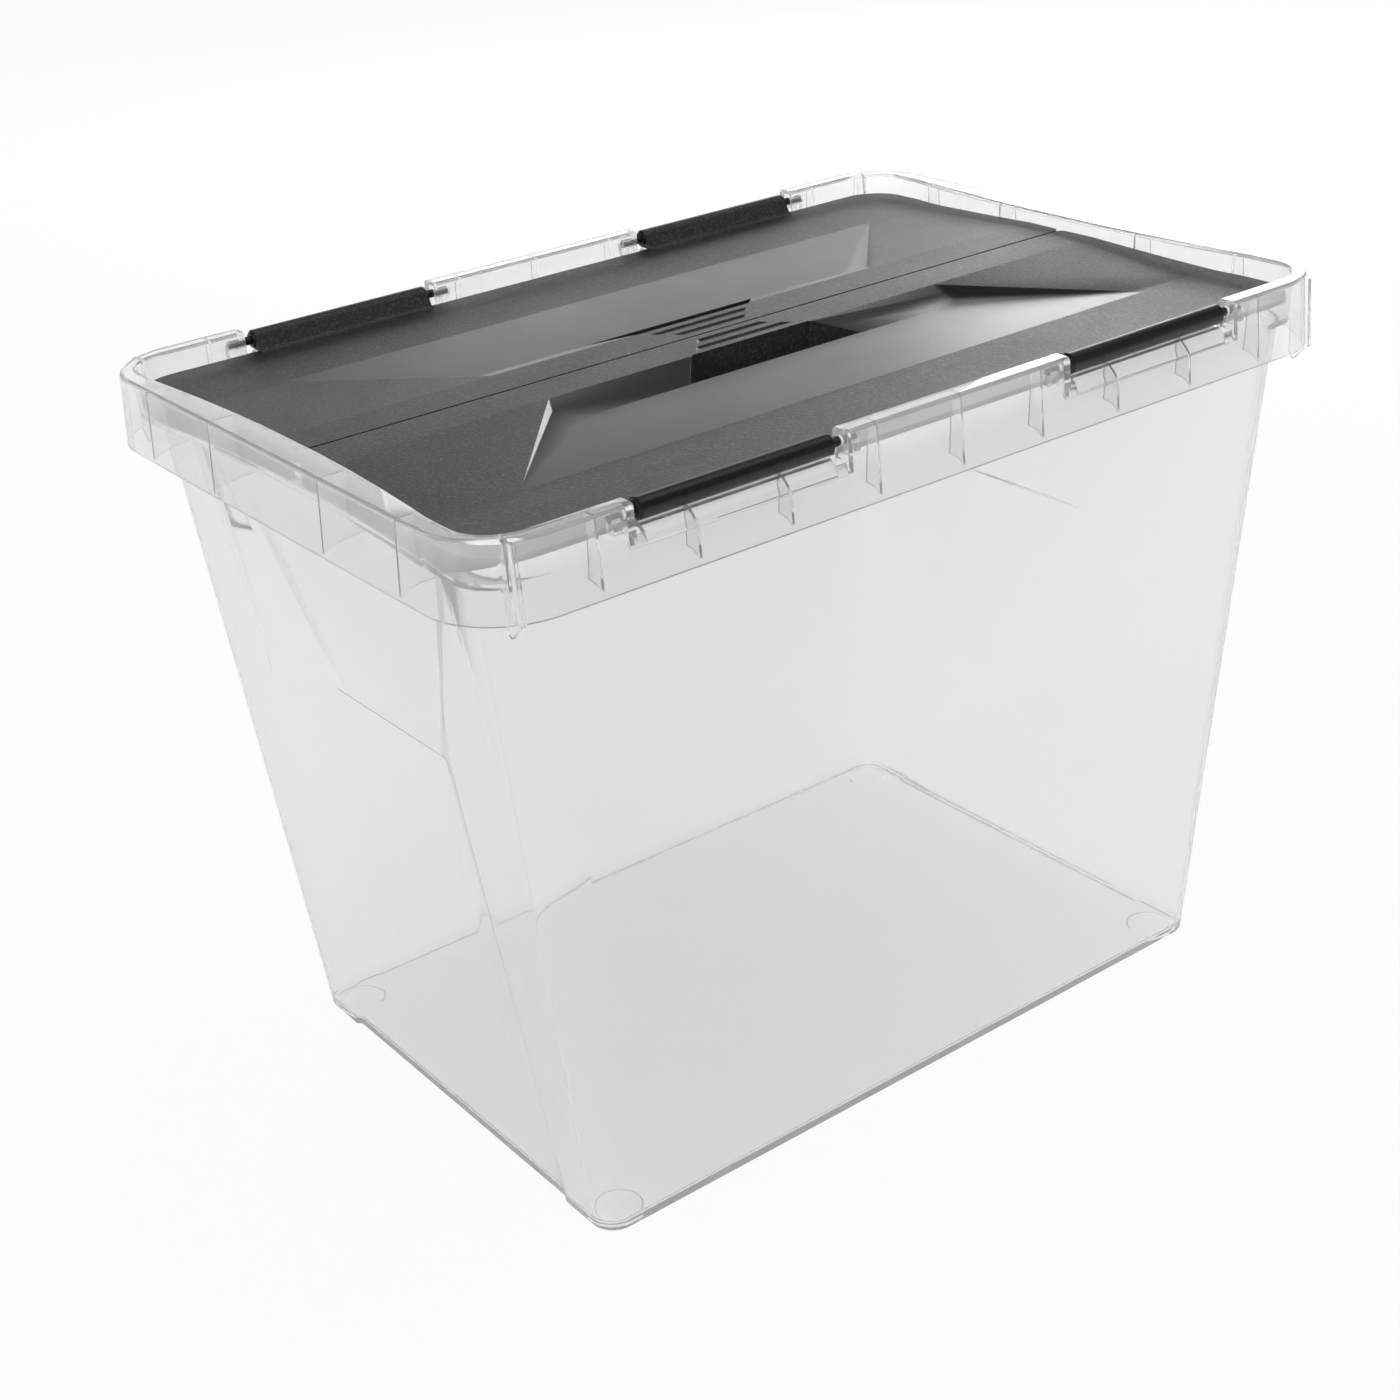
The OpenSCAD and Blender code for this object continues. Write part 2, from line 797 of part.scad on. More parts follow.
module front_wing() {
    color([0.3, 0.31, 0.33])
        mirror([0, 1, 0])
            wing();
}

module back_wing() {
    color([0.3, 0.31, 0.33])
        wing();
}

tub();
front_wing();
back_wing();
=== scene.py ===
"""Portable file box: the looks of its clear tub and of its two grained lid wings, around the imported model."""
import math
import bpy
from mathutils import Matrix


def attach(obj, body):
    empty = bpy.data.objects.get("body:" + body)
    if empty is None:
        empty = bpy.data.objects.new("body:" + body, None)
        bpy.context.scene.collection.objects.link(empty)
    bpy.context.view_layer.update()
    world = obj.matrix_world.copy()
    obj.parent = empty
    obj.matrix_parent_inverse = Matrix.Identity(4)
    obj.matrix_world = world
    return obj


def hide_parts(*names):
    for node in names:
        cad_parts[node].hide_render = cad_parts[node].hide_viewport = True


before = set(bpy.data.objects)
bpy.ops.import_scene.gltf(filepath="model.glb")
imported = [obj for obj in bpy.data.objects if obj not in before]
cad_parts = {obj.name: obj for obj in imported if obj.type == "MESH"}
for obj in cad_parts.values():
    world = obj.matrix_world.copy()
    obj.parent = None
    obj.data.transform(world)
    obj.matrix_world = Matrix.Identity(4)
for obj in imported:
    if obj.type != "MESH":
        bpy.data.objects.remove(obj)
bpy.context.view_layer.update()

from types import SimpleNamespace

import bmesh
import bpy
from mathutils import Matrix, Vector

bl_info = {
    "name": "Portable file box",
    "version": (1, 0, 0),
    "blender": (4, 5, 0),
    "location": "3D View > Sidebar > File box",
    "description": "Builds a clear file tub with two hinged lid wings, and a plain studio round it",
    "category": "Add Mesh",
}

MM = 0.001
ARC_STEPS = 20  # straight pieces in a quarter turn of a corner seen from above
ROUND_STEPS = 5  # the same for the small rounds of the rim's edges
FAR = 1000.0


# ---- sizes and colours that a user would change ----


def length(name, text, millimetres):
    """A size as a property, which Blender holds in metres."""
    return bpy.props.FloatProperty(
        name=name, description=text, default=millimetres * MM, min=0.0, unit="LENGTH", precision=5,
    )


def in_millimetres(group):
    """The group's sizes in millimetres, as the shapes take them."""
    return SimpleNamespace(**{name: round(getattr(group, name) / MM, 3) for name in group.__annotations__})


def amount(name, text, value, high=10.0):
    """A share or a strength of light as a property."""
    return bpy.props.FloatProperty(name=name, description=text, default=value, min=0.0, max=high)


def colour(name, text, value):
    """A colour as an sRGB hex property."""
    return bpy.props.StringProperty(name=name, description=text, default=value)


class FileBoxTub(bpy.types.PropertyGroup):
    """Sizes of the tub."""

    rim_length: length("Rim length", "Length of the rim over its top edge", 400.0)
    rim_width: length("Rim width", "Width of the rim over its top edge", 270.7)
    height: length("Height", "Height from the table to the top of the rim", 296.15)
    rim_corner: length("Rim corner", "Corner radius of the rim, seen from above", 29.5)
    rim_round: length("Rim round", "Radius of the rim's two top edges", 1.5)
    rim_wall: length("Rim wall", "Thickness of the skirt and of the rim's flat top", 1.9)
    skirt_height: length("Skirt height", "Height of the skirt that hangs from the rim", 28.3)
    skirt_flare: length("Skirt flare", "How far the skirt's foot stands out beyond the top edge", 1.55)
    base_length: length("Base length", "Length of the base over its outer faces", 318.3)
    base_width: length("Base width", "Width of the base over its outer faces", 216.6)
    base_corner: length("Base corner", "Corner radius of the base", 10.3)
    neck_corner: length("Neck corner", "Corner radius of the wall under the ledge", 20.4)
    end_overhang: length("End overhang", "How far the rim stands out beyond the short walls", 14.0)
    side_overhang: length("Side overhang", "How far the rim stands out beyond the long walls", 7.25)
    wall: length("Wall", "Thickness of the walls", 1.9)
    floor_wall: length("Floor", "Thickness of the floor", 2.2)
    ledge_drop: length("Ledge drop", "Depth of the ledge below the rim's top", 16.95)
    waist_height: length("Waist height", "Height at which the two panels of a short wall meet", 179.0)
    waist_width: length("Waist width", "Width of the pinched panel at the waist", 80.4)
    waist_depth: length("Waist depth", "How far the waist lies inside the wall's plane", 11.1)


class FileBoxLid(bpy.types.PropertyGroup):
    """Sizes of the two lid wings and their hinges."""

    thickness: length("Thickness", "Thickness of the wings", 2.0)
    crown_drop: length("Crown drop", "Depth of the flat crown below the rim's top", 5.15)
    crown_width: length("Crown width", "Width of the flat crown on each wing", 18.7)
    crease: length("Crease", "Distance of the outer crease from the middle", 82.3)
    gap: length("Gap", "Gap between the two wings", 1.0)
    axis_drop: length("Axis drop", "Depth of the hinge axis below the rim's top", 4.75)
    axis_inset: length("Axis inset", "Distance of the hinge axis from the rim's long edge", 5.35)
    barrel: length("Barrel", "Diameter of the hinge barrels", 7.8)
    pin: length("Pin", "Diameter of the hinge pins", 3.5)
    pocket_depth: length("Pocket depth", "Depth of the finger pockets below the crown", 21.0)


class FileBoxLooks(bpy.types.PropertyGroup):
    """Colours as sRGB hex values, and the strength of the studio's light."""

    clear: colour("Clear plastic", "Colour of the clear polypropylene", "#FCFCFC")
    grey: colour("Grey plastic", "Colour of the grained grey polypropylene", "#2C2D2E")
    grey_speck: colour("Grain", "Lighter colour in the grain of the grey plastic", "#505152")
    # The polished colours are partly painted shade: a darker copy of the grey plastic, put on the hinge barrels
    # and the recesses' faces for the shade there; the polish itself is real and shows as lower roughness and
    # finer grain.
    polished_and_shaded: colour("Polished plastic", "Colour of the grey plastic where the mould is polished", "#141415")
    polished_and_shaded_speck: colour("Polished grain", "Lighter colour in the polished grey plastic", "#222324")
    paper: colour("Floor", "Colour of the studio floor", "#F4F4F4")
    haze: amount("Haze", "Share of light that each face of the clear plastic scatters", 0.12, 1.0)
    world: amount("World", "Strength of the light from all round", 0.62)
    flags: amount("Flags", "Strength of the black flags in reflections", 0.12)
    backdrop: amount("Backdrop", "Strength of the white backdrop in reflections", 0.5)
    key: amount("Key", "Radiance that the lamps' shares multiply, where white is 1", 1.6)


# ---- shapes, in millimetres ----


def blend(a, b, t):
    return a + (b - a) * t


class TubShape:
    """The outlines of the tub, worked out from its sizes."""

    panel_foot_half, panel_foot_depth = 78.7, 1.6
    panel_top_half, panel_top_depth = 84.8, 3.85
    shoulder_half, shoulder_margin = 70.0, 2.0
    waist_step = 0.8
    collar_margin, collar_bow, collar_bow_half = 9.4, 5.1, 98.0
    collar_corner, collar_draft = 16.2, 0.05
    ledge_slope = 0.5

    def __init__(self, sizes):
        self.s = sizes
        self.half_x, self.half_y = sizes.rim_length / 2, sizes.rim_width / 2
        self.ledge_z = sizes.height - sizes.ledge_drop
        self.skirt_z = sizes.height - sizes.skirt_height
        self.neck_x = self.half_x - sizes.end_overhang
        self.neck_y = self.half_y - sizes.side_overhang
        self.waist_x = self.wall_x(sizes.waist_height) - sizes.waist_depth
        self.bow_radius = self.collar_bow_half**2 / (2 * self.collar_bow)

    def wall_x(self, z):
        return blend(self.s.base_length / 2, self.neck_x, z / self.ledge_z)

    def wall_y(self, z):
        return blend(self.s.base_width / 2, self.neck_y, z / self.ledge_z)

    def wall_corner(self, z):
        return blend(self.s.base_corner, self.s.neck_corner, z / self.ledge_z)

    def panel(self, z):
        """Half width of the pinched panel, half width over its outer creases, and its x, at height z."""
        top = self.s.waist_height - self.waist_step
        if z < self.s.waist_height - self.waist_step / 2:
            t = min(1.0, z / top)
            return (
                blend(self.panel_foot_half, self.s.waist_width / 2, t),
                blend(self.panel_foot_half + self.shoulder_margin, self.shoulder_half, t),
                blend(self.s.base_length / 2 - self.panel_foot_depth, self.waist_x - self.waist_step, t),
            )
        t = (z - self.s.waist_height) / (self.ledge_z - self.s.waist_height)
        return (
            blend(self.s.waist_width / 2, self.panel_top_half, t),
            blend(self.shoulder_half, self.panel_top_half + self.shoulder_margin, t),
            blend(self.waist_x, self.neck_x - self.panel_top_depth, t),
        )

    def wall_ring(self, z, d):
        """The wall below the ledge, d inside its outer face."""
        half, shoulder, x = self.panel(z)
        r = self.wall_corner(z)
        side = [(x - d, half * (i + 1) / 4) for i in range(4)]
        side += [(self.wall_x(z) - d, shoulder)]
        return whole(side + arc(self.wall_x(z) - r, self.wall_y(z) - r, r - d), z)

    def collar_x(self, z, y):
        half = self.half_x - self.collar_margin + self.collar_draft * (z - self.ledge_z)
        return half - self.collar_bow + min(self.collar_bow, y * y / (2 * self.bow_radius))

    def collar_ring(self, z, d):
        """The collar above the ledge, d outside its inner face."""
        cx = self.collar_x(z, FAR) - self.collar_corner
        cy = self.wall_y(z) - self.s.wall - self.collar_corner
        ys = [self.panel_top_half * (i + 1) / 4 for i in range(4)] + [self.collar_bow_half]
        side = [(self.collar_x(z, y) + d, y) for y in ys]
        return whole(side + arc(cx, cy, self.collar_corner + d), z)

    def flare(self, z):
        return self.s.skirt_flare * (self.s.height - z) / self.s.skirt_height

    def rim_ring(self, z, d):
        """The rim, d inside its outer face."""
        r = self.s.rim_corner
        return whole(arc(self.half_x - r, self.half_y - r, r - d + self.flare(z)), z)


def arc(cx, cy, r, steps=ARC_STEPS):
    turns = [math.pi / 2 * i / steps for i in range(steps + 1)]
    return [(cx + r * math.cos(a), cy + r * math.sin(a)) for a in turns]


def whole(quarter, z):
    """A closed ring at height z from its quarter with x > 0 and y > 0."""
    back = quarter[::-1]
    return (
        [(x, y, z) for x, y in quarter]
        + [(-x, y, z) for x, y in back]
        + [(-x, -y, z) for x, y in quarter]
        + [(x, -y, z) for x, y in back]
    )


# ---- mesh making ----


def mesh_object(name, points, faces, material):
    """An object at the origin from points in millimetres."""
    mesh = bpy.data.meshes.new(name)
    mesh.from_pydata([Vector(p) * MM for p in points], [], faces)
    bm = bmesh.new()
    bm.from_mesh(mesh)
    bmesh.ops.recalc_face_normals(bm, faces=bm.faces)
    bm.to_mesh(mesh)
    bm.free()
    mesh.materials.append(material)
    piece = bpy.data.objects.new(name, mesh)
    bpy.context.scene.collection.objects.link(piece)
    return piece


def loft(name, rings, material):
    """A closed solid through rings that have the same number of points."""
    n = len(rings[0])
    points = [p for ring in rings for p in ring]
    faces = [tuple(range(n))[::-1], tuple(range(len(points) - n, len(points)))]
    for k in range(0, len(points) - n, n):
        faces += [(k + i, k + (i + 1) % n, k + n + (i + 1) % n, k + n + i) for i in range(n)]
    return mesh_object(name, points, faces, material)


def bar(name, profile, low, high, along, material):
    """A profile drawn out along x (profile in y, z) or along y (profile in x, z)."""
    place = {"x": lambda t, p: (t, p[0], p[1]), "y": lambda t, p: (p[0], t, p[1])}[along]
    return loft(name, [[place(t, p) for p in profile] for t in (low, high)], material)


def lathe(name, profile, y, z, material, steps=48):
    """A profile of (x, radius) turned round an axis along x at y, z."""
    turns = [2 * math.pi * i / steps for i in range(steps)]
    rings = [[(x, y + r * math.cos(a), z + r * math.sin(a)) for a in turns] for x, r in profile]
    return loft(name, rings, material)


def mirrored(piece, axis, name):
    """A copy of a piece, mirrored across the plane x = 0 or y = 0, with its faces outwards."""
    mesh = piece.data.copy()
    side = Vector((1, 1, 1))
    side[axis] = -1
    mesh.transform(Matrix.Diagonal(side.to_4d()))
    mesh.flip_normals()
    copy = bpy.data.objects.new(name, mesh)
    bpy.context.scene.collection.objects.link(copy)
    return copy


def four_ways(piece):
    """A piece and its copies in the other three quarters."""
    side = mirrored(piece, 0, piece.name + "_side")
    return [piece, side, mirrored(piece, 1, piece.name + "_back"), mirrored(side, 1, side.name + "_back")]


def solid_mesh(piece):
    """The piece's mesh with its modifiers applied."""
    bpy.context.view_layer.update()
    seen = piece.evaluated_get(bpy.context.evaluated_depsgraph_get())
    mesh = bpy.data.meshes.new_from_object(seen)
    piece.modifiers.clear()
    old = piece.data
    piece.data = mesh
    bpy.data.meshes.remove(old)
    return piece


def combine(piece, tools, operation):
    """Unites the piece with the tools, or cuts them out of it, and removes them."""
    for tool in tools:
        step = piece.modifiers.new(operation.lower(), "BOOLEAN")
        step.operation = operation
        step.solver = "EXACT"
        step.material_mode = "TRANSFER"
        step.object = tool
    solid_mesh(piece)
    for tool in tools:
        bpy.data.objects.remove(tool)
    return piece


def finish_surface(piece, angle=28.0):
    """Smooth shading with sharp edges kept, and flat faces that stay flat."""
    bm = bmesh.new()
    bm.from_mesh(piece.data)
    bmesh.ops.remove_doubles(bm, verts=bm.verts, dist=0.00001)
    bmesh.ops.dissolve_degenerate(bm, edges=bm.edges, dist=0.00001)
    bm.to_mesh(piece.data)
    bm.free()
    for face in piece.data.polygons:
        face.use_smooth = True
    piece.data.set_sharp_from_angle(angle=math.radians(angle))
    flat = piece.modifiers.new("flat faces stay flat", "WEIGHTED_NORMAL")
    flat.keep_sharp = True
    flat.weight = 100
    return solid_mesh(piece)


# ---- materials ----

FLOW_MARKS, SKIN_WAVES = 14 * MM, 1.6 * MM  # the clear plastic's cloudy gloss and faintly uneven skin
BACKWARD_HAZE = 0.4  # share of the light scattered in the clear plastic that comes back
GRAIN_WIDTH, GRAIN_DEPTH, GLOSS_CLOUDS = 1.1 * MM, 0.16 * MM, 30 * MM  # in the grey plastic


def linear(hex_colour):
    """sRGB hex to the linear colour that a socket takes."""
    values = [int(hex_colour.lstrip("#")[i : i + 2], 16) / 255 for i in (0, 2, 4)]
    return tuple(v / 12.92 if v <= 0.04045 else ((v + 0.055) / 1.055) ** 2.4 for v in values) + (1.0,)


def node(tree, kind, links=(), **settings):
    """Adds a node: settings are its properties, or its inputs where the name starts with in_."""
    made = tree.nodes.new(kind)
    for name, value in settings.items():
        if name.startswith("in_"):
            made.inputs[name[3:].replace("_", " ")].default_value = value
        else:
            setattr(made, name, value)
    for output, socket in links:
        tree.links.new(output, made.inputs[socket])
    return made


def new_material(name):
    material = bpy.data.materials.new(name)
    material.use_nodes = True
    material.node_tree.nodes.clear()
    return material, material.node_tree


def clear_polypropylene(looks):
    """Injection-moulded natural polypropylene: clear, with a milky haze and a soft gloss.

    A part of the light goes straight through, so near things show sharp behind it. The rest is
    scattered in the wall and lies over them as a grey veil, which grows with each wall.
    """
    material, tree = new_material("clear_polypropylene")
    place = node(tree, "ShaderNodeTexCoord").outputs["Object"]
    flow = node(tree, "ShaderNodeTexNoise", [(place, "Vector")], in_Scale=1 / FLOW_MARKS, in_Detail=2.0)
    skin = node(tree, "ShaderNodeTexNoise", [(place, "Vector")], in_Scale=1 / SKIN_WAVES, in_Detail=2.0)
    rough = node(
        tree, "ShaderNodeMapRange", [(flow.outputs["Fac"], "Value")],
        in_To_Min=0.012, in_To_Max=0.03,
    )
    edges = node(tree, "ShaderNodeBevel", samples=4, in_Radius=0.15 * MM)
    bumps = node(
        tree, "ShaderNodeBump", [(skin.outputs["Fac"], "Height"), (edges.outputs["Normal"], "Normal")],
        in_Strength=0.06, in_Distance=0.05 * MM,
    )
    shell = node(
        tree, "ShaderNodeBsdfPrincipled",
        [(rough.outputs["Result"], "Roughness"), (bumps.outputs["Normal"], "Normal")],
        in_Base_Color=linear(looks.clear), in_IOR=1.49, in_Transmission_Weight=1.0,
    )
    through = node(tree, "ShaderNodeBsdfTranslucent", in_Color=linear(looks.clear))
    back = node(tree, "ShaderNodeBsdfDiffuse", in_Color=linear(looks.clear))
    veil = node(
        tree, "ShaderNodeMixShader", [(through.outputs["BSDF"], 1), (back.outputs["BSDF"], 2)],
        in_Fac=BACKWARD_HAZE,
    )
    hazy = node(
        tree, "ShaderNodeMixShader", [(shell.outputs["BSDF"], 1), (veil.outputs["Shader"], 2)],
        in_Fac=looks.haze,
    )
    path = node(tree, "ShaderNodeLightPath")
    shade = node(tree, "ShaderNodeBsdfTransparent", in_Color=(0.93, 0.94, 0.95, 1.0))
    mix = node(
        tree, "ShaderNodeMixShader",
        [(path.outputs["Is Shadow Ray"], 0), (hazy.outputs["Shader"], 1), (shade.outputs["BSDF"], 2)],
    )
    node(tree, "ShaderNodeOutputMaterial", [(mix.outputs["Shader"], "Surface")])
    return material


def grey_polypropylene(name, base, speck, roughness, grain):
    """Injection-moulded grey polypropylene; the mould's spark-eroded skin gives its fine grain.

    The grain is about 0.3 mm on the real lid and is drawn at 1.1 mm so that it shows.
    """
    material, tree = new_material(name)
    place = node(tree, "ShaderNodeTexCoord").outputs["Object"]
    skin = node(
        tree, "ShaderNodeTexNoise", [(place, "Vector")],
        in_Scale=1 / GRAIN_WIDTH, in_Detail=3.0, in_Roughness=0.7,
    )
    cloud = node(tree, "ShaderNodeTexNoise", [(place, "Vector")], in_Scale=1 / GLOSS_CLOUDS, in_Detail=2.0)
    tint = node(
        tree, "ShaderNodeMapRange", [(skin.outputs["Fac"], "Value")],
        in_From_Min=0.5, in_From_Max=0.68,
    )
    tone = node(
        tree, "ShaderNodeMix", [(tint.outputs["Result"], "Factor")], data_type="RGBA",
        in_A=linear(base), in_B=linear(speck),
    )
    rough = node(
        tree, "ShaderNodeMapRange", [(cloud.outputs["Fac"], "Value")],
        in_To_Min=roughness - 0.04, in_To_Max=roughness + 0.04,
    )
    edges = node(tree, "ShaderNodeBevel", samples=4, in_Radius=0.4 * MM)
    bumps = node(
        tree, "ShaderNodeBump", [(skin.outputs["Fac"], "Height"), (edges.outputs["Normal"], "Normal")],
        in_Strength=grain, in_Distance=GRAIN_DEPTH,
    )
    shell = node(
        tree, "ShaderNodeBsdfPrincipled",
        [
            (tone.outputs["Result"], "Base Color"),
            (rough.outputs["Result"], "Roughness"),
            (bumps.outputs["Normal"], "Normal"),
        ],
        in_IOR=1.49,
    )
    node(tree, "ShaderNodeOutputMaterial", [(shell.outputs["BSDF"], "Surface")])
    return material


# ---- repeated ribs, by Geometry Nodes ----


def rib_row_tree():
    """A row of ribs: the same rib, Count times, Step apart and centred on the rib's own place."""
    tree = bpy.data.node_groups.new("rib row", "GeometryNodeTree")
    for name, kind in (("Rib", "Object"), ("Count", "Int"), ("Step", "Vector"), ("Material", "Material")):
        tree.interface.new_socket(name, in_out="INPUT", socket_type="NodeSocket" + kind)
    tree.interface.new_socket("Geometry", in_out="OUTPUT", socket_type="NodeSocketGeometry")
    given = node(tree, "NodeGroupInput")
    less = node(tree, "ShaderNodeMath", [(given.outputs["Count"], 0)], operation="SUBTRACT")
    less.inputs[1].default_value = 1.0
    half = node(tree, "ShaderNodeMath", [(less.outputs[0], 0)], operation="MULTIPLY")
    half.inputs[1].default_value = -0.5
    count, step = given.outputs["Count"], given.outputs["Step"]
    start = node(
        tree, "ShaderNodeVectorMath", [(step, 0), (half.outputs[0], "Scale")], operation="SCALE",
    )
    line = node(
        tree, "GeometryNodeMeshLine",
        [(count, "Count"), (start.outputs[0], "Start Location"), (step, "Offset")],
    )
    rib = node(tree, "GeometryNodeObjectInfo", [(given.outputs["Rib"], "Object")]).outputs["Geometry"]
    row = node(tree, "GeometryNodeInstanceOnPoints", [(line.outputs[0], "Points"), (rib, "Instance")])
    real = node(tree, "GeometryNodeRealizeInstances", [(row.outputs[0], "Geometry")])
    material = given.outputs["Material"]
    dressed = node(tree, "GeometryNodeSetMaterial", [(real.outputs[0], "Geometry"), (material, "Material")])
    node(tree, "NodeGroupOutput", [(dressed.outputs[0], "Geometry")])
    return tree


def rib_row(name, rib, count, step, material):
    """The rib drawn in a row as one mesh; the single rib is removed."""
    row = bpy.data.objects.new(name, bpy.data.meshes.new(name))
    bpy.context.scene.collection.objects.link(row)
    tree = bpy.data.node_groups.get("rib row") or rib_row_tree()
    made = row.modifiers.new("ribs", "NODES")
    made.node_group = tree
    values = {"Rib": rib, "Count": count, "Step": Vector(step) * MM, "Material": material}
    for item in tree.interface.items_tree:
        if item.in_out == "INPUT":
            made[item.identifier] = values[item.name]
    solid_mesh(row)
    bpy.data.objects.remove(rib)
    return row


# ---- the tub ----

NOTCH_CENTRE, NOTCH_LENGTH, BEARING_WALL = 96.0, 88.0, 2.2
SHELF_DROP, SHELF_FALL, SHELF_FLAT = 9.15, 3.6, 1.2
WINDOW_LENGTH, CRADLE_LENGTH, CRADLE_HEIGHT = 4.6, 3.0, 5.5
PIN_REACH, PIN_CLEARANCE = 4.6, 0.05
RIB_WALL, SIDE_RIBS, SIDE_RIB_STEP, RIB_RISE, RIB_FOOT_GAP = 1.0, 9, 38.5, 4.4, 0.2
END_RIB_INNER, END_RIB_OUTER = 40.0, 90.0
INNER_FILLET, FOOT_MARK_INSET = 3.0, 13.5
FOOT_MARK = [(9.6, -1.0), (9.6, 0.0), (8.9, 0.9), (8.3, 1.1)]  # radius and height
CORNER_RIB_X, CORNER_RIB_WALL, CORNER_RIB_HANG = 184.0, 1.8, 5.85


def rib_profile(shape, w, s):
    """A rib from the wall at w to the skirt's middle at s: its lower edge is a hollow curve."""
    top, foot = shape.s.height - shape.s.rim_wall / 2, shape.skirt_z + RIB_FOOT_GAP
    face = s - shape.s.rim_wall / 2
    curve = [(t, math.sqrt(1 - t * t)) for t in (0.0, 0.3, 0.5, 0.66, 0.8, 0.9, 0.97)]
    lower = [(blend(w, face, t), foot + RIB_RISE * rise) for t, rise in curve]
    inner = w - 2 * shape.s.wall
    start, end = [(inner, top), (inner, foot + RIB_RISE + RIB_FOOT_GAP)], (s - shape.s.skirt_flare, top)
    return start + lower + [(face, foot), (s, foot), end]


def tub_ribs(shape, clear):
    """Ribs between skirt and wall on all four sides, and the hanging ribs at the corners."""
    side_s = shape.half_y + shape.s.skirt_flare - shape.s.rim_wall / 2
    end_s = shape.half_x + shape.s.skirt_flare - shape.s.rim_wall / 2
    profile = rib_profile(shape, shape.wall_y(shape.ledge_z), side_s)
    side = bar("side_rib", profile, -RIB_WALL / 2, RIB_WALL / 2, "x", clear)
    rows = [rib_row("side_ribs", side, SIDE_RIBS, (SIDE_RIB_STEP, 0, 0), clear)]
    rows += [mirrored(rows[0], 1, "side_ribs_front")]
    for name, y in (("inner", END_RIB_INNER), ("outer", END_RIB_OUTER)):
        profile = rib_profile(shape, shape.panel(shape.ledge_z)[2] + shape.s.wall, end_s)
        end = bar("end_rib_" + name, profile, -RIB_WALL / 2, RIB_WALL / 2, "y", clear)
        row = rib_row("end_ribs_" + name, end, 2, (0, 2 * y, 0), clear)
        rows += [row, mirrored(row, 0, row.name + "_left")]
    inner, foot = shape.wall_y(shape.ledge_z) - 1.7, shape.skirt_z
    top = shape.s.height - shape.s.rim_wall / 2
    hanging = bar(
        "corner_rib",
        [
            (inner - 3, top),
            (inner - 3, shape.ledge_z - shape.s.wall / 2),
            (inner, shape.ledge_z - shape.s.wall),
            (inner, foot - CORNER_RIB_HANG * 0.55),
            (inner + 0.8, foot - CORNER_RIB_HANG * 0.85),
            (inner + 2.6, foot - CORNER_RIB_HANG),
            (side_s - 1.5, foot),
            (side_s, foot + RIB_FOOT_GAP),
            (side_s - shape.s.skirt_flare, top),
        ],
        CORNER_RIB_X - CORNER_RIB_WALL / 2, CORNER_RIB_X + CORNER_RIB_WALL / 2, "x", clear,
    )
    return rows + four_ways(hanging)


def hinge_notches(shape, lid, clear):
    """The blocks round the notches with the pins' cradles, and what cuts notches, windows and pin holes."""
    s = shape.s
    axis_y, axis_z = shape.half_y - lid.axis_inset, s.height - lid.axis_drop
    shelf_z = s.height - SHELF_DROP
    low, high = NOTCH_CENTRE - NOTCH_LENGTH / 2, NOTCH_CENTRE + NOTCH_LENGTH / 2
    outer = shape.half_y - s.rim_wall / 2
    inner = shape.wall_y(shelf_z) - s.wall / 2
    face, slope_y = shape.half_y + shape.flare(shelf_z - SHELF_FALL), axis_y + SHELF_FLAT
    block = bar(
        "notch_block",
        [
            (inner, shelf_z - s.wall),
            (axis_y + SHELF_FLAT - 0.6, shelf_z - s.wall),
            (outer + shape.flare(shelf_z) - s.rim_wall / 2 - 0.6, shelf_z - SHELF_FALL - s.wall + 0.4),
            (outer + shape.flare(shelf_z) - s.rim_wall / 2, shelf_z - SHELF_FALL - s.wall - 0.8),
            (outer + shape.flare(shelf_z), shelf_z - SHELF_FALL - s.wall - 0.8),
            (outer, s.height - s.rim_wall / 2),
            (inner, s.height - s.rim_wall / 2),
        ],
        low - BEARING_WALL, high + BEARING_WALL, "x", clear,
    )
    cut = bar(
        "notch_cut",
        [
            (axis_y - 10, shelf_z),
            (slope_y, shelf_z),
            (face - 1.5, blend(shelf_z, shelf_z - SHELF_FALL, (face - 1.5 - slope_y) / (face - slope_y))),
            (face - 0.75, shelf_z - SHELF_FALL + 0.1),
            (face - 0.3, shelf_z - SHELF_FALL - 0.35),
            (face + 0.05, shelf_z - SHELF_FALL - 1.1),
            (shape.half_y + 5, shelf_z - SHELF_FALL - 1.1),
            (shape.half_y + 5, s.height + 5),
            (axis_y - 10, s.height + 5),
        ],
        low, high, "x", clear,
    )
    first, last = low - BEARING_WALL - PIN_REACH, high + BEARING_WALL + PIN_REACH
    pin_r = lid.pin / 2
    hole_r = pin_r + PIN_CLEARANCE
    deep = shelf_z - SHELF_FALL - 2 * s.wall
    outside = shape.half_y + s.skirt_flare / 2 - s.rim_wall - 0.2
    near, high_z = axis_y - pin_r, shelf_z + s.wall
    under_pin = [(near, deep), (outside, deep), (outside, high_z), (near, high_z)]
    rest_y = axis_y + hole_r + 1
    rest_z, round_off = axis_z - CRADLE_HEIGHT, 1.2
    rest = [(inner, rest_z), (rest_y - round_off, rest_z), (rest_y, rest_z + round_off)]
    rest += [(rest_y, axis_z), (inner, axis_z)]
    cuts = [cut]
    for x in (low, high - WINDOW_LENGTH):
        cuts.append(bar("window", under_pin, x, x + WINDOW_LENGTH, "x", clear))
    for a, b in ((first - 0.5, low + 0.5), (high - 0.5, last + 0.5)):
        cuts.append(lathe("pin_hole", [(a, hole_r), (b, hole_r)], axis_y, axis_z, clear))
    blocks = [block]
    for x in (first, last - CRADLE_LENGTH):
        blocks.append(bar("cradle", rest, x, x + CRADLE_LENGTH, "x", clear))
    return [p for one in blocks for p in four_ways(one)], [p for one in cuts for p in four_ways(one)]


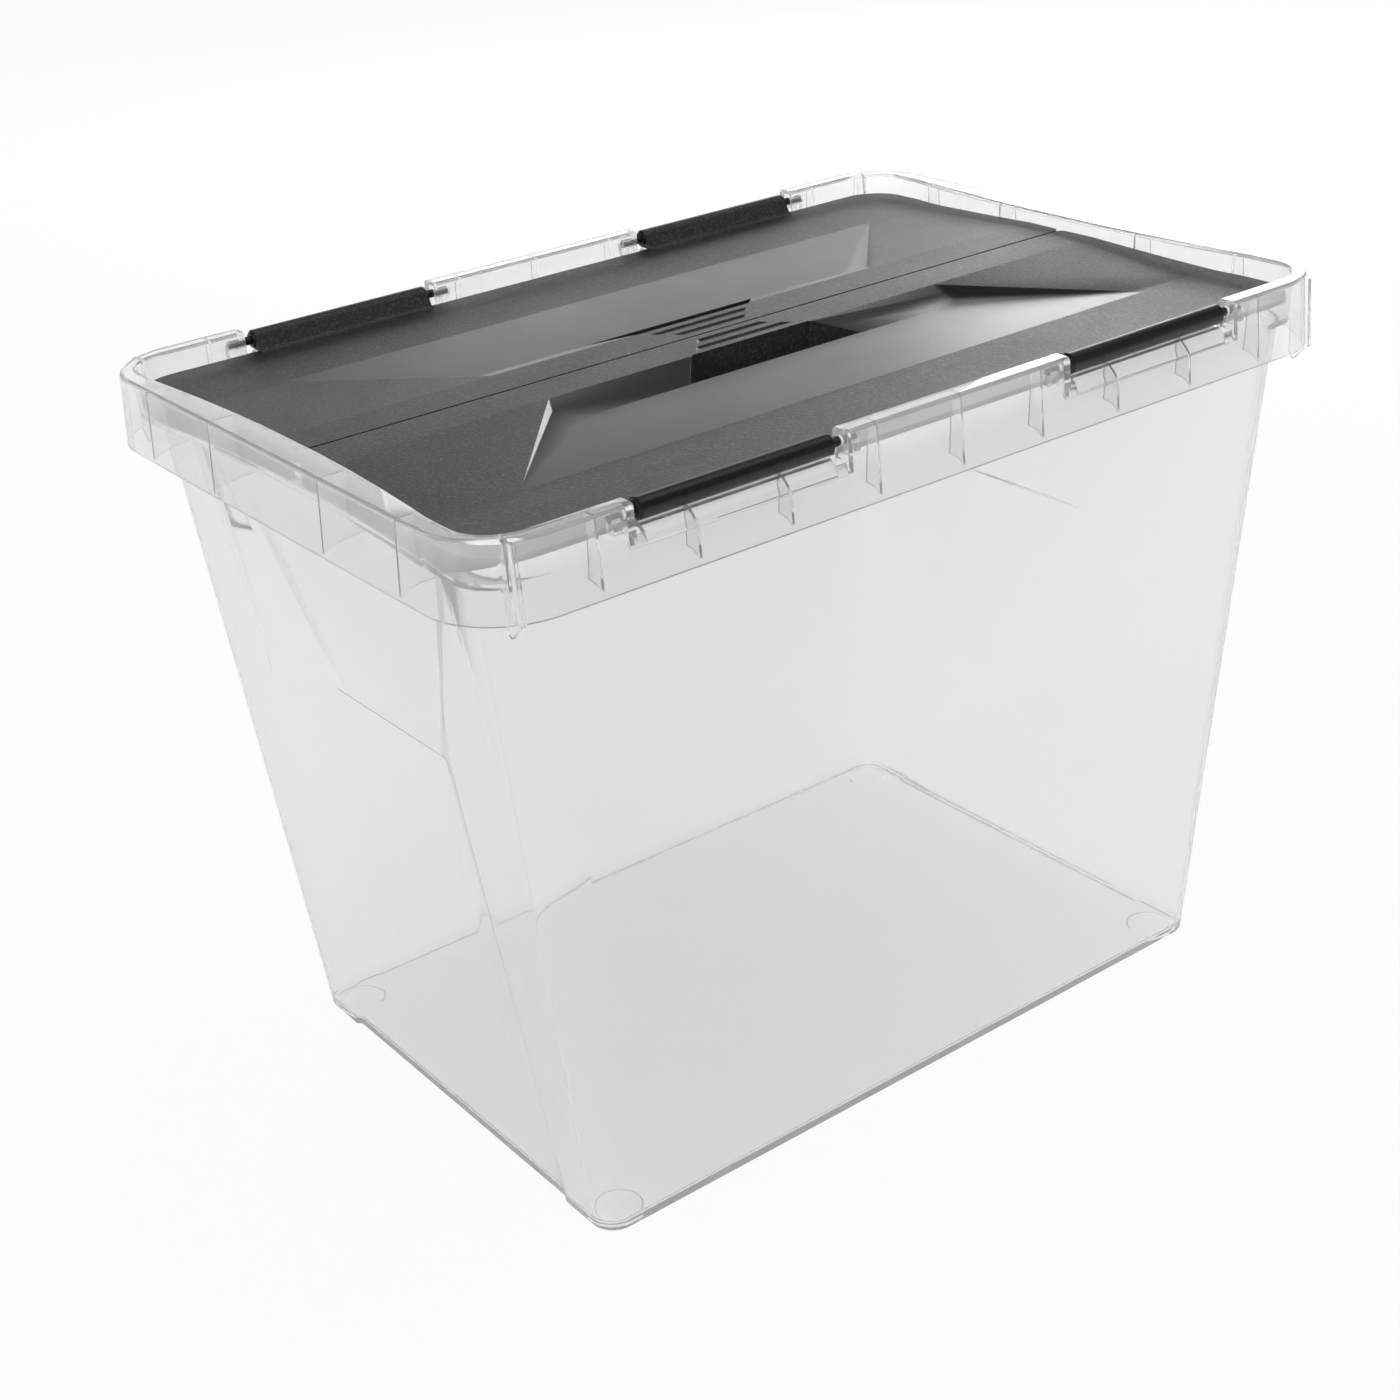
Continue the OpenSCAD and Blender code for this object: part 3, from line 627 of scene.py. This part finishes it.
def build_tub(sizes, lid, clear):
    """The whole tub as one moulding."""
    shape = TubShape(sizes)
    s = sizes
    walls = loft(
        "clear_tub",
        [
            shape.wall_ring(0, 1.2),
            shape.wall_ring(0.35, 0.35),
            shape.wall_ring(1.2, 0),
            shape.wall_ring(s.waist_height - shape.waist_step, 0),
            shape.wall_ring(s.waist_height, 0),
            shape.wall_ring(shape.ledge_z - s.wall - shape.ledge_slope, 0),
            shape.collar_ring(shape.ledge_z - s.wall, s.wall),
            shape.collar_ring(s.height - s.rim_wall / 2, s.wall),
        ],
        clear,
    )
    quarter = [math.pi / 2 * i / ROUND_STEPS for i in range(ROUND_STEPS + 1)]
    foot = [(0, 0.15), (0.15, 0)]
    rim = loft(
        "rim",
        [shape.rim_ring(shape.skirt_z + z, d) for z, d in foot]
        + [
            shape.rim_ring(s.height - s.rim_round * (1 - math.sin(a)), s.rim_round * (1 - math.cos(a)))
            for a in quarter
        ],
        clear,
    )
    under = loft(
        "rim_under",
        [shape.rim_ring(shape.skirt_z - 1, s.rim_wall), shape.rim_ring(s.height - s.rim_wall, s.rim_wall)],
        clear,
    )
    combine(rim, [under], "DIFFERENCE")
    fillet = INNER_FILLET
    bay = loft(
        "bay",
        [
            shape.wall_ring(s.floor_wall + fillet * (1 - math.cos(a)), s.wall + fillet * (1 - math.sin(a)))
            for a in quarter
        ]
        + [
            shape.wall_ring(s.waist_height - shape.waist_step, s.wall),
            shape.wall_ring(s.waist_height, s.wall),
            shape.wall_ring(shape.ledge_z - shape.ledge_slope, s.wall),
            shape.collar_ring(shape.ledge_z, 0),
        ]
        + [
            shape.collar_ring(s.height - s.rim_round * (1 - math.sin(a)), s.rim_round * (1 - math.cos(a)))
            for a in quarter[:-1]
        ]
        + [shape.collar_ring(s.height + 0.3, s.rim_round * 1.3)],
        clear,
    )
    blocks, cuts = hinge_notches(shape, lid, clear)
    mark_x, mark_y = s.base_length / 2 - FOOT_MARK_INSET, s.base_width / 2 - FOOT_MARK_INSET
    mark = lathe_upright("foot_mark", mark_x, mark_y, FOOT_MARK, clear)
    combine(walls, [rim] + tub_ribs(shape, clear) + blocks, "UNION")
    combine(walls, [bay] + cuts + four_ways(mark), "DIFFERENCE")
    return finish_surface(walls)


def lathe_upright(name, x, y, profile, material, steps=40):
    """A profile of (radius, z) turned round an upright axis."""
    turns = [2 * math.pi * i / steps for i in range(steps)]
    rings = [[(x + r * math.cos(a), y + r * math.sin(a), z) for a in turns] for r, z in profile]
    return loft(name, rings, material)


# ---- the wings ----

CUP_WALL = 1.8
POCKET_INNER, POCKET_OUTER, POCKET_FAR_SIDE = 28.5, 42.0, 34.4  # two half lengths, and the longer side's y
GRIP_GROOVES, GROOVE_HALF, GROOVE_DEPTH, GROOVE_REACH, GROOVE_SLANT = (6.0, 13.0), 1.7, 1.2, 13.0, 0.83
BARREL_HALF, LIP_SETBACK = 40.5, 0.8


class WingShape:
    """The outlines of one wing on the side y > 0, worked out from its sizes."""

    crease_fall, edge_fall = 3.1, 3.5
    corner, end_gap, side_gap, lip_gap = 17.0, 0.8, 0.35, 0.3
    lip_end, parting_lip, parting_chamfer = 104.0, 6.0, 2.0

    def __init__(self, tub, lid):
        self.tub, self.s = tub, lid
        self.crown_z = tub.s.height - lid.crown_drop
        self.edge_y = tub.neck_y - tub.s.wall + 0.4 - self.side_gap
        self.half_x = tub.half_x - tub.collar_margin + 0.45 - self.end_gap
        self.lip_z = tub.ledge_z + self.lip_gap
        self.axis_y = tub.half_y - lid.axis_inset
        self.axis_z = tub.s.height - lid.axis_drop

    def top(self, y):
        """Height of the wing's upper face at distance y from the middle."""
        s = self.s
        if y <= s.crown_width:
            return self.crown_z
        if y <= s.crease:
            return self.crown_z - self.crease_fall * (y - s.crown_width) / (s.crease - s.crown_width)
        out = (y - s.crease) / (self.edge_y - s.crease)
        return self.crown_z - self.crease_fall - (self.edge_fall - self.crease_fall) * out

    def end_x(self, y, d):
        bow = self.tub.collar_bow
        return self.half_x - d - bow + min(bow, y * y / (2 * self.tub.bow_radius))

    def outline(self, d, z):
        near = self.s.gap / 2 + d
        first = near + self.parting_chamfer
        quarter = [(self.end_x(near, d) - self.parting_chamfer, near)]
        for i in range(13):
            y = blend(first, self.tub.collar_bow_half, i / 12)
            quarter.append((self.end_x(y, d), y))
        quarter += arc(self.half_x - self.corner, self.edge_y - self.corner, self.corner - d)
        return [(x, y, z) for x, y in quarter + [(-x, y) for x, y in quarter[::-1]]]

    def section(self, drop, low=None):
        """The upper face lowered by drop; closed at low, or by the lower face."""
        ys = [0, self.s.crown_width, self.s.crease, self.edge_y + 1]
        upper = [(y, self.top(y) - drop) for y in ys]
        if low is None:
            lower = [(y, self.top(y) - self.s.thickness) for y in ys[::-1]]
        else:
            lower = [(ys[-1], low), (0, low)]
        return upper + lower


def recess_space(shape, material, lower=0.0):
    """The space of the shallow recess, open at the top."""
    s = shape.s
    inner_y, outer_y = s.crown_width + 0.4, s.crease - 0.4
    deep = Vector((89.9, POCKET_FAR_SIDE, shape.crown_z - 4.5))
    inner = Vector((93.8, inner_y, shape.top(inner_y)))
    outer = Vector((146.8, outer_y, shape.top(outer_y)))
    kink = Vector((97.4, blend(inner.y, deep.y, 0.47), blend(inner.z, deep.z, 0.47)))
    outer_end, inner_end = deep.lerp(outer, 1.08), kink.lerp(inner, 1.2)
    high = shape.crown_z + 5
    right = [outer_end, inner_end, deep, kink, Vector((*outer_end.xy, high)), Vector((*inner_end.xy, high))]
    points = right + [Vector((-p.x, p.y, p.z)) for p in right]
    faces = [
        (6, 8, 2, 0), (8, 9, 3, 2), (9, 7, 1, 3), (0, 2, 3), (6, 9, 8), (0, 3, 1),
        (6, 7, 9), (10, 4, 5, 11), (6, 0, 4, 10), (7, 11, 5, 1), (0, 1, 5, 4), (6, 10, 11, 7),
    ]
    return mesh_object("recess_space", [(p.x, p.y, p.z - lower) for p in points], faces, material)


def pocket_space(shape, grow, low, high, material):
    """The finger pocket, grown by a wall's thickness or not, with rounded corners and a draft."""
    inner_y, outer_y = shape.s.crown_width - 0.5 - grow, POCKET_FAR_SIDE + grow

    def ring(t, z):
        corners = [
            (-POCKET_INNER - grow + t, inner_y + t / 2), (POCKET_INNER + grow - t, inner_y + t / 2),
            (POCKET_OUTER + grow - t, outer_y - t), (-POCKET_OUTER - grow + t, outer_y - t),
        ]
        return [(x, y, z) for x, y in rounded(corners, 1.2 + grow)]

    rings = [ring(3.4, low), ring(2.0, low + 0.5), ring(1.2, low + 2), ring(0, high)]
    return loft("pocket_space", rings, material)


def rounded(corners, r, steps=5):
    """The corners of a convex outline, each replaced by a small round."""
    out = []
    for i, p in enumerate(corners):
        p, a, b = Vector(p), Vector(corners[i - 1]), Vector(corners[(i + 1) % len(corners)])
        start, end = p + (a - p).normalized() * r, p + (b - p).normalized() * r
        for k in range(steps + 1):
            t = k / steps
            out.append(tuple(start.lerp(p, t).lerp(p.lerp(end, t), t)))
    return out


def groove(shape, y, material):
    """One groove of the grip: a round-bottomed channel that runs out at its slanted ends."""
    half, depth = GROOVE_HALF, GROOVE_DEPTH
    rings = []
    for k in range(9):
        a = math.pi * k / 8
        dy, dz = -half * math.cos(a), -depth * math.sin(a)
        rings.append((y + dy, shape.crown_z + dz))
    rings = [(y - half, shape.crown_z + 1)] + rings + [(y + half, shape.crown_z + 1)]
    reach = [GROOVE_REACH + GROOVE_SLANT * p[0] - 1.5 for p in rings]
    ends = [2.2 * max(0.0, (shape.crown_z - p[1]) / depth) for p in rings]
    left = [(-r + e, p[0], p[1]) for r, e, p in zip(reach, ends, rings)]
    right = [(r - e, p[0], p[1]) for r, e, p in zip(reach, ends, rings)]
    return loft("groove", [left, right], material)


def hinge_parts(shape, grained, smooth_and_shaded):
    """A barrel with its pins, and the curved lip that carries it, on the side x > 0."""
    r, pin = shape.s.barrel / 2, shape.s.pin / 2
    low, high = NOTCH_CENTRE - BARREL_HALF, NOTCH_CENTRE + BARREL_HALF
    reach = NOTCH_LENGTH / 2 + BEARING_WALL + PIN_REACH
    pin_low, pin_high = NOTCH_CENTRE - reach, NOTCH_CENTRE + reach
    profile = [
        (pin_low, pin - 0.4), (pin_low + 0.4, pin), (low, pin), (low, r - 1.1), (low + 1.1, r),
        (high - 1.1, r), (high, r - 1.1), (high, pin), (pin_high - 0.4, pin), (pin_high, pin - 0.4),
    ]
    # The barrel takes the darker polished colour, which is painted shade on its faces.
    barrel = lathe("barrel", profile, shape.axis_y, shape.axis_z, smooth_and_shaded)
    edge, skin = shape.top(shape.edge_y), r + 0.08
    y, axis_y, axis_z = shape.edge_y, shape.axis_y, shape.axis_z
    ramp = [(6, -1), (5.6, -0.4), (4.2, 0.1), (3.2, 0.5), (2.2, 1.3)]  # inside the wing's edge, and above it
    over = [math.radians(a) for a in (30, 42, 54, 66, 78)]
    profile = [(y - back, edge + rise) for back, rise in ramp]
    profile += [(axis_y - skin * math.cos(a), axis_z + skin * math.sin(a)) for a in over]
    profile += [(axis_y, axis_z), (axis_y - r * 0.3, axis_z - r * 0.9), (y, edge + 0.15), (y, edge - 1)]
    lip = bar("barrel_lip", profile, low + LIP_SETBACK, high - LIP_SETBACK, "x", grained)
    return [barrel, lip]


def build_wing(tub_sizes, lid, grained, smooth_and_shaded, name):
    """One wing on the side y > 0: its plate, lips, recess, pocket, grip and hinges in one moulding."""
    shape = WingShape(TubShape(tub_sizes), lid)
    t, far = lid.thickness, shape.tub.half_x
    wing = loft(name, [shape.outline(0, shape.lip_z), shape.outline(0, shape.crown_z + 5)], grained)
    combine(wing, [bar("section", shape.section(0), -far, far, "x", grained)], "INTERSECT")

    ring = loft("lip_ring", [shape.outline(0, shape.lip_z - 1), shape.outline(0, shape.crown_z + 5)], grained)
    hole = loft("lip_hole", [shape.outline(t, shape.lip_z - 2), shape.outline(t, shape.crown_z + 6)], grained)
    combine(ring, [hole], "DIFFERENCE")
    upper = shape.section(t * 0.6)[:4]
    step_y = lid.gap / 2 + 2 * t
    lip_side = upper + [
        (shape.lip_end, shape.lip_z), (step_y, shape.lip_z),
        (step_y, shape.crown_z - shape.parting_lip), (0, shape.crown_z - shape.parting_lip),
    ]
    combine(ring, [bar("lip_side", lip_side, -far, far, "x", grained)], "INTERSECT")

    pan = recess_space(shape, grained, lower=t)
    plate = shape.section(t / 2, shape.tub.ledge_z)
    combine(pan, [bar("under_plate", plate, -far, far, "x", grained)], "INTERSECT")
    pocket_z = shape.crown_z - lid.pocket_depth
    cup = pocket_space(shape, CUP_WALL, pocket_z - CUP_WALL, shape.crown_z + 1, grained)
    plate = shape.section(t / 2, pocket_z - 2 * CUP_WALL)
    combine(cup, [bar("under_plate", plate, -far, far, "x", grained)], "INTERSECT")
    hinges = hinge_parts(shape, grained, smooth_and_shaded)
    hinges += [mirrored(p, 0, p.name + "_left") for p in hinges]
    combine(wing, [ring, pan, cup] + hinges, "UNION")
    # The recess's faces take the darker polished colour, which is painted shade in the recess.
    cuts = [recess_space(shape, smooth_and_shaded), pocket_space(shape, 0, pocket_z, shape.crown_z + 1, grained)]
    cuts += [groove(shape, y, grained) for y in GRIP_GROOVES]
    combine(wing, cuts, "DIFFERENCE")
    return finish_surface(wing, 24.0)


# ---- the stage ----

WHITE_TO_CAMERA, WHITE_THROUGH_PLASTIC = 0.9, 0.25  # the paper's plain white in what each kind of ray sees
BACKDROP_WAY = (0.59, 0.81, 0.0)  # towards the backdrop behind the box, as the photograph sees it
BACKDROP_EDGE, BACKDROP_TOP = (-0.25, 0.15), (0.45, 0.3)  # where it fades, sideways and upwards
LAMPS = (  # azimuth and elevation in degrees, distance and size in metres, share of the key
    ("back_softbox", 31, 14, 2.3, (1.0, 0.9), 3.4),
    ("back_fill", 54, 15, 2.3, (0.9, 0.9), 0.95),
    ("side_fill", 78, 16, 2.3, (0.9, 0.9), 0.4),
    ("left_softbox", 188, 20, 2.0, (1.6, 1.5), 0.3),
    ("top_softbox", -20, 70, 2.2, (1.4, 1.4), 0.6),
)
# the camera that was fitted to the photograph: place in millimetres, turn in degrees, lens and shift
CAMERA_PLACE, CAMERA_TURN = (-510.698, -680.2, 553.532), (-125.835, 26.0795, -3.90988)
CAMERA_LENS, CAMERA_SHIFT = 58.351, (-0.00371, -0.00969)
FLOOR_HALF, FLOOR_DROP = 5000.0, 0.2


def look_from(azimuth, elevation, roll):
    """The camera's turn, from the angles fitted to the photograph."""
    az, el, ro = (math.radians(v) for v in (azimuth, elevation, roll))
    ahead = -Vector((math.cos(el) * math.cos(az), math.cos(el) * math.sin(az), math.sin(el)))
    right = ahead.cross(Vector((0, 0, 1))).normalized()
    up = right.cross(ahead)
    right, up = math.cos(ro) * right + math.sin(ro) * up, -math.sin(ro) * right + math.cos(ro) * up
    return Matrix((right, up, -ahead)).transposed()


def area_lamp(name, azimuth, elevation, distance, size, radiance):
    """A large soft lamp that looks at the object's middle; its power follows from its radiance and area."""
    az, el = math.radians(azimuth), math.radians(elevation)
    middle = Vector((0, 0, 0.15))
    way = Vector((math.cos(el) * math.cos(az), math.cos(el) * math.sin(az), math.sin(el)))
    lamp = bpy.data.lights.new(name, "AREA")
    lamp.shape = "RECTANGLE"
    lamp.size, lamp.size_y = size
    lamp.energy = radiance * math.pi * size[0] * size[1]
    made = bpy.data.objects.new(name, lamp)
    made.location = middle + way * distance
    made.rotation_euler = (-way).to_track_quat("-Z", "Y").to_euler()
    made.visible_camera = False
    made.visible_transmission = False
    bpy.context.scene.collection.objects.link(made)
    return made


def studio_floor(looks):
    """Matt white studio paper: it shows white to the camera and keeps a soft shadow."""
    material, tree = new_material("studio_paper")
    path = node(tree, "ShaderNodeLightPath")
    paper = node(tree, "ShaderNodeBsdfDiffuse", in_Color=linear(looks.paper))
    white = node(tree, "ShaderNodeEmission", in_Strength=1.0)
    share = node(tree, "ShaderNodeMath", [(path.outputs["Is Camera Ray"], 0)], operation="MULTIPLY")
    share.inputs[1].default_value = WHITE_TO_CAMERA
    seen = node(
        tree, "ShaderNodeMath", [(path.outputs["Is Transmission Ray"], 0), (share.outputs[0], 2)],
        operation="MULTIPLY_ADD",
    )
    seen.inputs[1].default_value = WHITE_THROUGH_PLASTIC
    mix = node(
        tree, "ShaderNodeMixShader",
        [(seen.outputs[0], 0), (paper.outputs[0], 1), (white.outputs[0], 2)],
    )
    node(tree, "ShaderNodeOutputMaterial", [(mix.outputs[0], "Surface")])
    return material


def studio_world(looks):
    """White to the camera and through the plastic.

    Reflections see a low white backdrop behind the box, and black flags everywhere else.
    """
    world = bpy.data.worlds.new("studio")
    world.use_nodes = True
    tree = world.node_tree
    tree.nodes.clear()
    way = node(tree, "ShaderNodeTexCoord").outputs["Generated"]
    behind = node(tree, "ShaderNodeVectorMath", [(way, 0)], operation="DOT_PRODUCT")
    behind.inputs[1].default_value = BACKDROP_WAY
    side = node(
        tree, "ShaderNodeMapRange", [(behind.outputs["Value"], "Value")],
        in_From_Min=BACKDROP_EDGE[0], in_From_Max=BACKDROP_EDGE[1],
    )
    split = node(tree, "ShaderNodeSeparateXYZ", [(way, "Vector")])
    low = node(
        tree, "ShaderNodeMapRange", [(split.outputs["Z"], "Value")],
        in_From_Min=BACKDROP_TOP[0], in_From_Max=BACKDROP_TOP[1],
    )
    share = node(tree, "ShaderNodeMath", [(side.outputs[0], 0), (low.outputs[0], 1)], operation="MULTIPLY")
    backdrop = node(
        tree, "ShaderNodeMapRange", [(share.outputs[0], "Value")],
        in_To_Min=looks.flags, in_To_Max=looks.backdrop,
    )
    path = node(tree, "ShaderNodeLightPath").outputs
    mirrored_in = node(
        tree, "ShaderNodeMapRange", [(path["Is Glossy Ray"], "Value"), (backdrop.outputs[0], "To Max")],
        in_To_Min=looks.world,
    )
    seen = node(
        tree, "ShaderNodeMath", [(path["Is Camera Ray"], 0), (path["Is Transmission Ray"], 1)],
        operation="MAXIMUM",
    )
    strength = node(
        tree, "ShaderNodeMapRange", [(seen.outputs[0], "Value"), (mirrored_in.outputs[0], "To Min")],
        in_To_Max=1.0,
    )
    sky = node(
        tree, "ShaderNodeBackground", [(strength.outputs["Result"], "Strength")], in_Color=(1, 1, 1, 1),
    )
    node(tree, "ShaderNodeOutputWorld", [(sky.outputs[0], "Surface")])
    bpy.context.scene.world = world


# ---- operators ----


class FILEBOX_OT_tub(bpy.types.Operator):
    """Build the clear tub with its rim, ribs and hinge notches"""

    bl_idname = "filebox.tub"
    bl_label = "Clear tub"

    def execute(self, context):
        scene = context.scene
        tub, lid = in_millimetres(scene.filebox_tub), in_millimetres(scene.filebox_lid)
        piece = build_tub(tub, lid, clear_polypropylene(scene.filebox_looks))
        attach(piece, "tub")
        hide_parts("tub")
        return {"FINISHED"}


class FILEBOX_OT_wings(bpy.types.Operator):
    """Build the two lid wings with their recesses, pockets, grips and hinge barrels"""

    bl_idname = "filebox.wings"
    bl_label = "Lid wings"

    def execute(self, context):
        scene = context.scene
        looks = scene.filebox_looks
        tub, lid = in_millimetres(scene.filebox_tub), in_millimetres(scene.filebox_lid)
        grained = grey_polypropylene("grained_grey_polypropylene", looks.grey, looks.grey_speck, 0.46, 0.9)
        # The polished copy's darker colours are painted shade on the barrels and in the recesses; its lower
        # roughness and finer grain are real.
        smooth_and_shaded = grey_polypropylene(
            "polished_grey_polypropylene", looks.polished_and_shaded, looks.polished_and_shaded_speck, 0.32, 0.35,
        )
        back = build_wing(tub, lid, grained, smooth_and_shaded, "grained_back_wing")
        front = mirrored(back, 1, "grained_front_wing")
        for piece, body in ((back, "back_wing"), (front, "front_wing")):
            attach(piece, body)
            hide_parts(body)
        return {"FINISHED"}


class FILEBOX_OT_stage(bpy.types.Operator):
    """Set up the studio floor, the soft lamps and the camera at the photograph's angle"""

    bl_idname = "filebox.stage"
    bl_label = "Studio"

    def execute(self, context):
        scene = context.scene
        looks = scene.filebox_looks
        ways = ((-1, -1), (1, -1), (1, 1), (-1, 1))
        corners = [(x * FLOOR_HALF, y * FLOOR_HALF, -FLOOR_DROP) for x, y in ways]
        floor = mesh_object("studio_floor", corners, [(0, 1, 2, 3)], studio_floor(looks))
        studio_world(looks)
        for *place, share in LAMPS:
            area_lamp(*place, share * looks.key)
        eye = bpy.data.cameras.new("camera")
        eye.sensor_width, eye.lens = 36.0, CAMERA_LENS
        eye.shift_x, eye.shift_y = CAMERA_SHIFT
        eye.clip_end = 50.0
        camera = bpy.data.objects.new("camera", eye)
        place = Matrix.Translation(Vector(CAMERA_PLACE) * MM)
        camera.matrix_world = place @ look_from(*CAMERA_TURN).to_4x4()
        scene.collection.objects.link(camera)
        scene.camera = camera
        scene.view_settings.view_transform = "Standard"
        return {"FINISHED"}


class FILEBOX_PT_panel(bpy.types.Panel):
    """Sizes, looks and operators of the file box"""

    bl_label = "File box"
    bl_idname = "FILEBOX_PT_panel"
    bl_space_type = "VIEW_3D"
    bl_region_type = "UI"
    bl_category = "File box"

    def draw(self, context):
        for group in (context.scene.filebox_tub, context.scene.filebox_lid, context.scene.filebox_looks):
            column = self.layout.column(align=True)
            for name in group.__annotations__:
                column.prop(group, name)
        for kind in OPERATORS:
            self.layout.operator(kind.bl_idname)


GROUPS = {"filebox_tub": FileBoxTub, "filebox_lid": FileBoxLid, "filebox_looks": FileBoxLooks}
OPERATORS = (FILEBOX_OT_tub, FILEBOX_OT_wings, FILEBOX_OT_stage)


def register():
    for kind in (*GROUPS.values(), *OPERATORS, FILEBOX_PT_panel):
        bpy.utils.register_class(kind)
    for name, kind in GROUPS.items():
        setattr(bpy.types.Scene, name, bpy.props.PointerProperty(type=kind))


def unregister():
    for name in GROUPS:
        delattr(bpy.types.Scene, name)
    for kind in (FILEBOX_PT_panel, *OPERATORS[::-1], *GROUPS.values()):
        bpy.utils.unregister_class(kind)


def main():
    register()
    bpy.ops.filebox.tub()
    bpy.ops.filebox.wings()
    bpy.ops.filebox.stage()


if __name__ == "__main__":
    main()
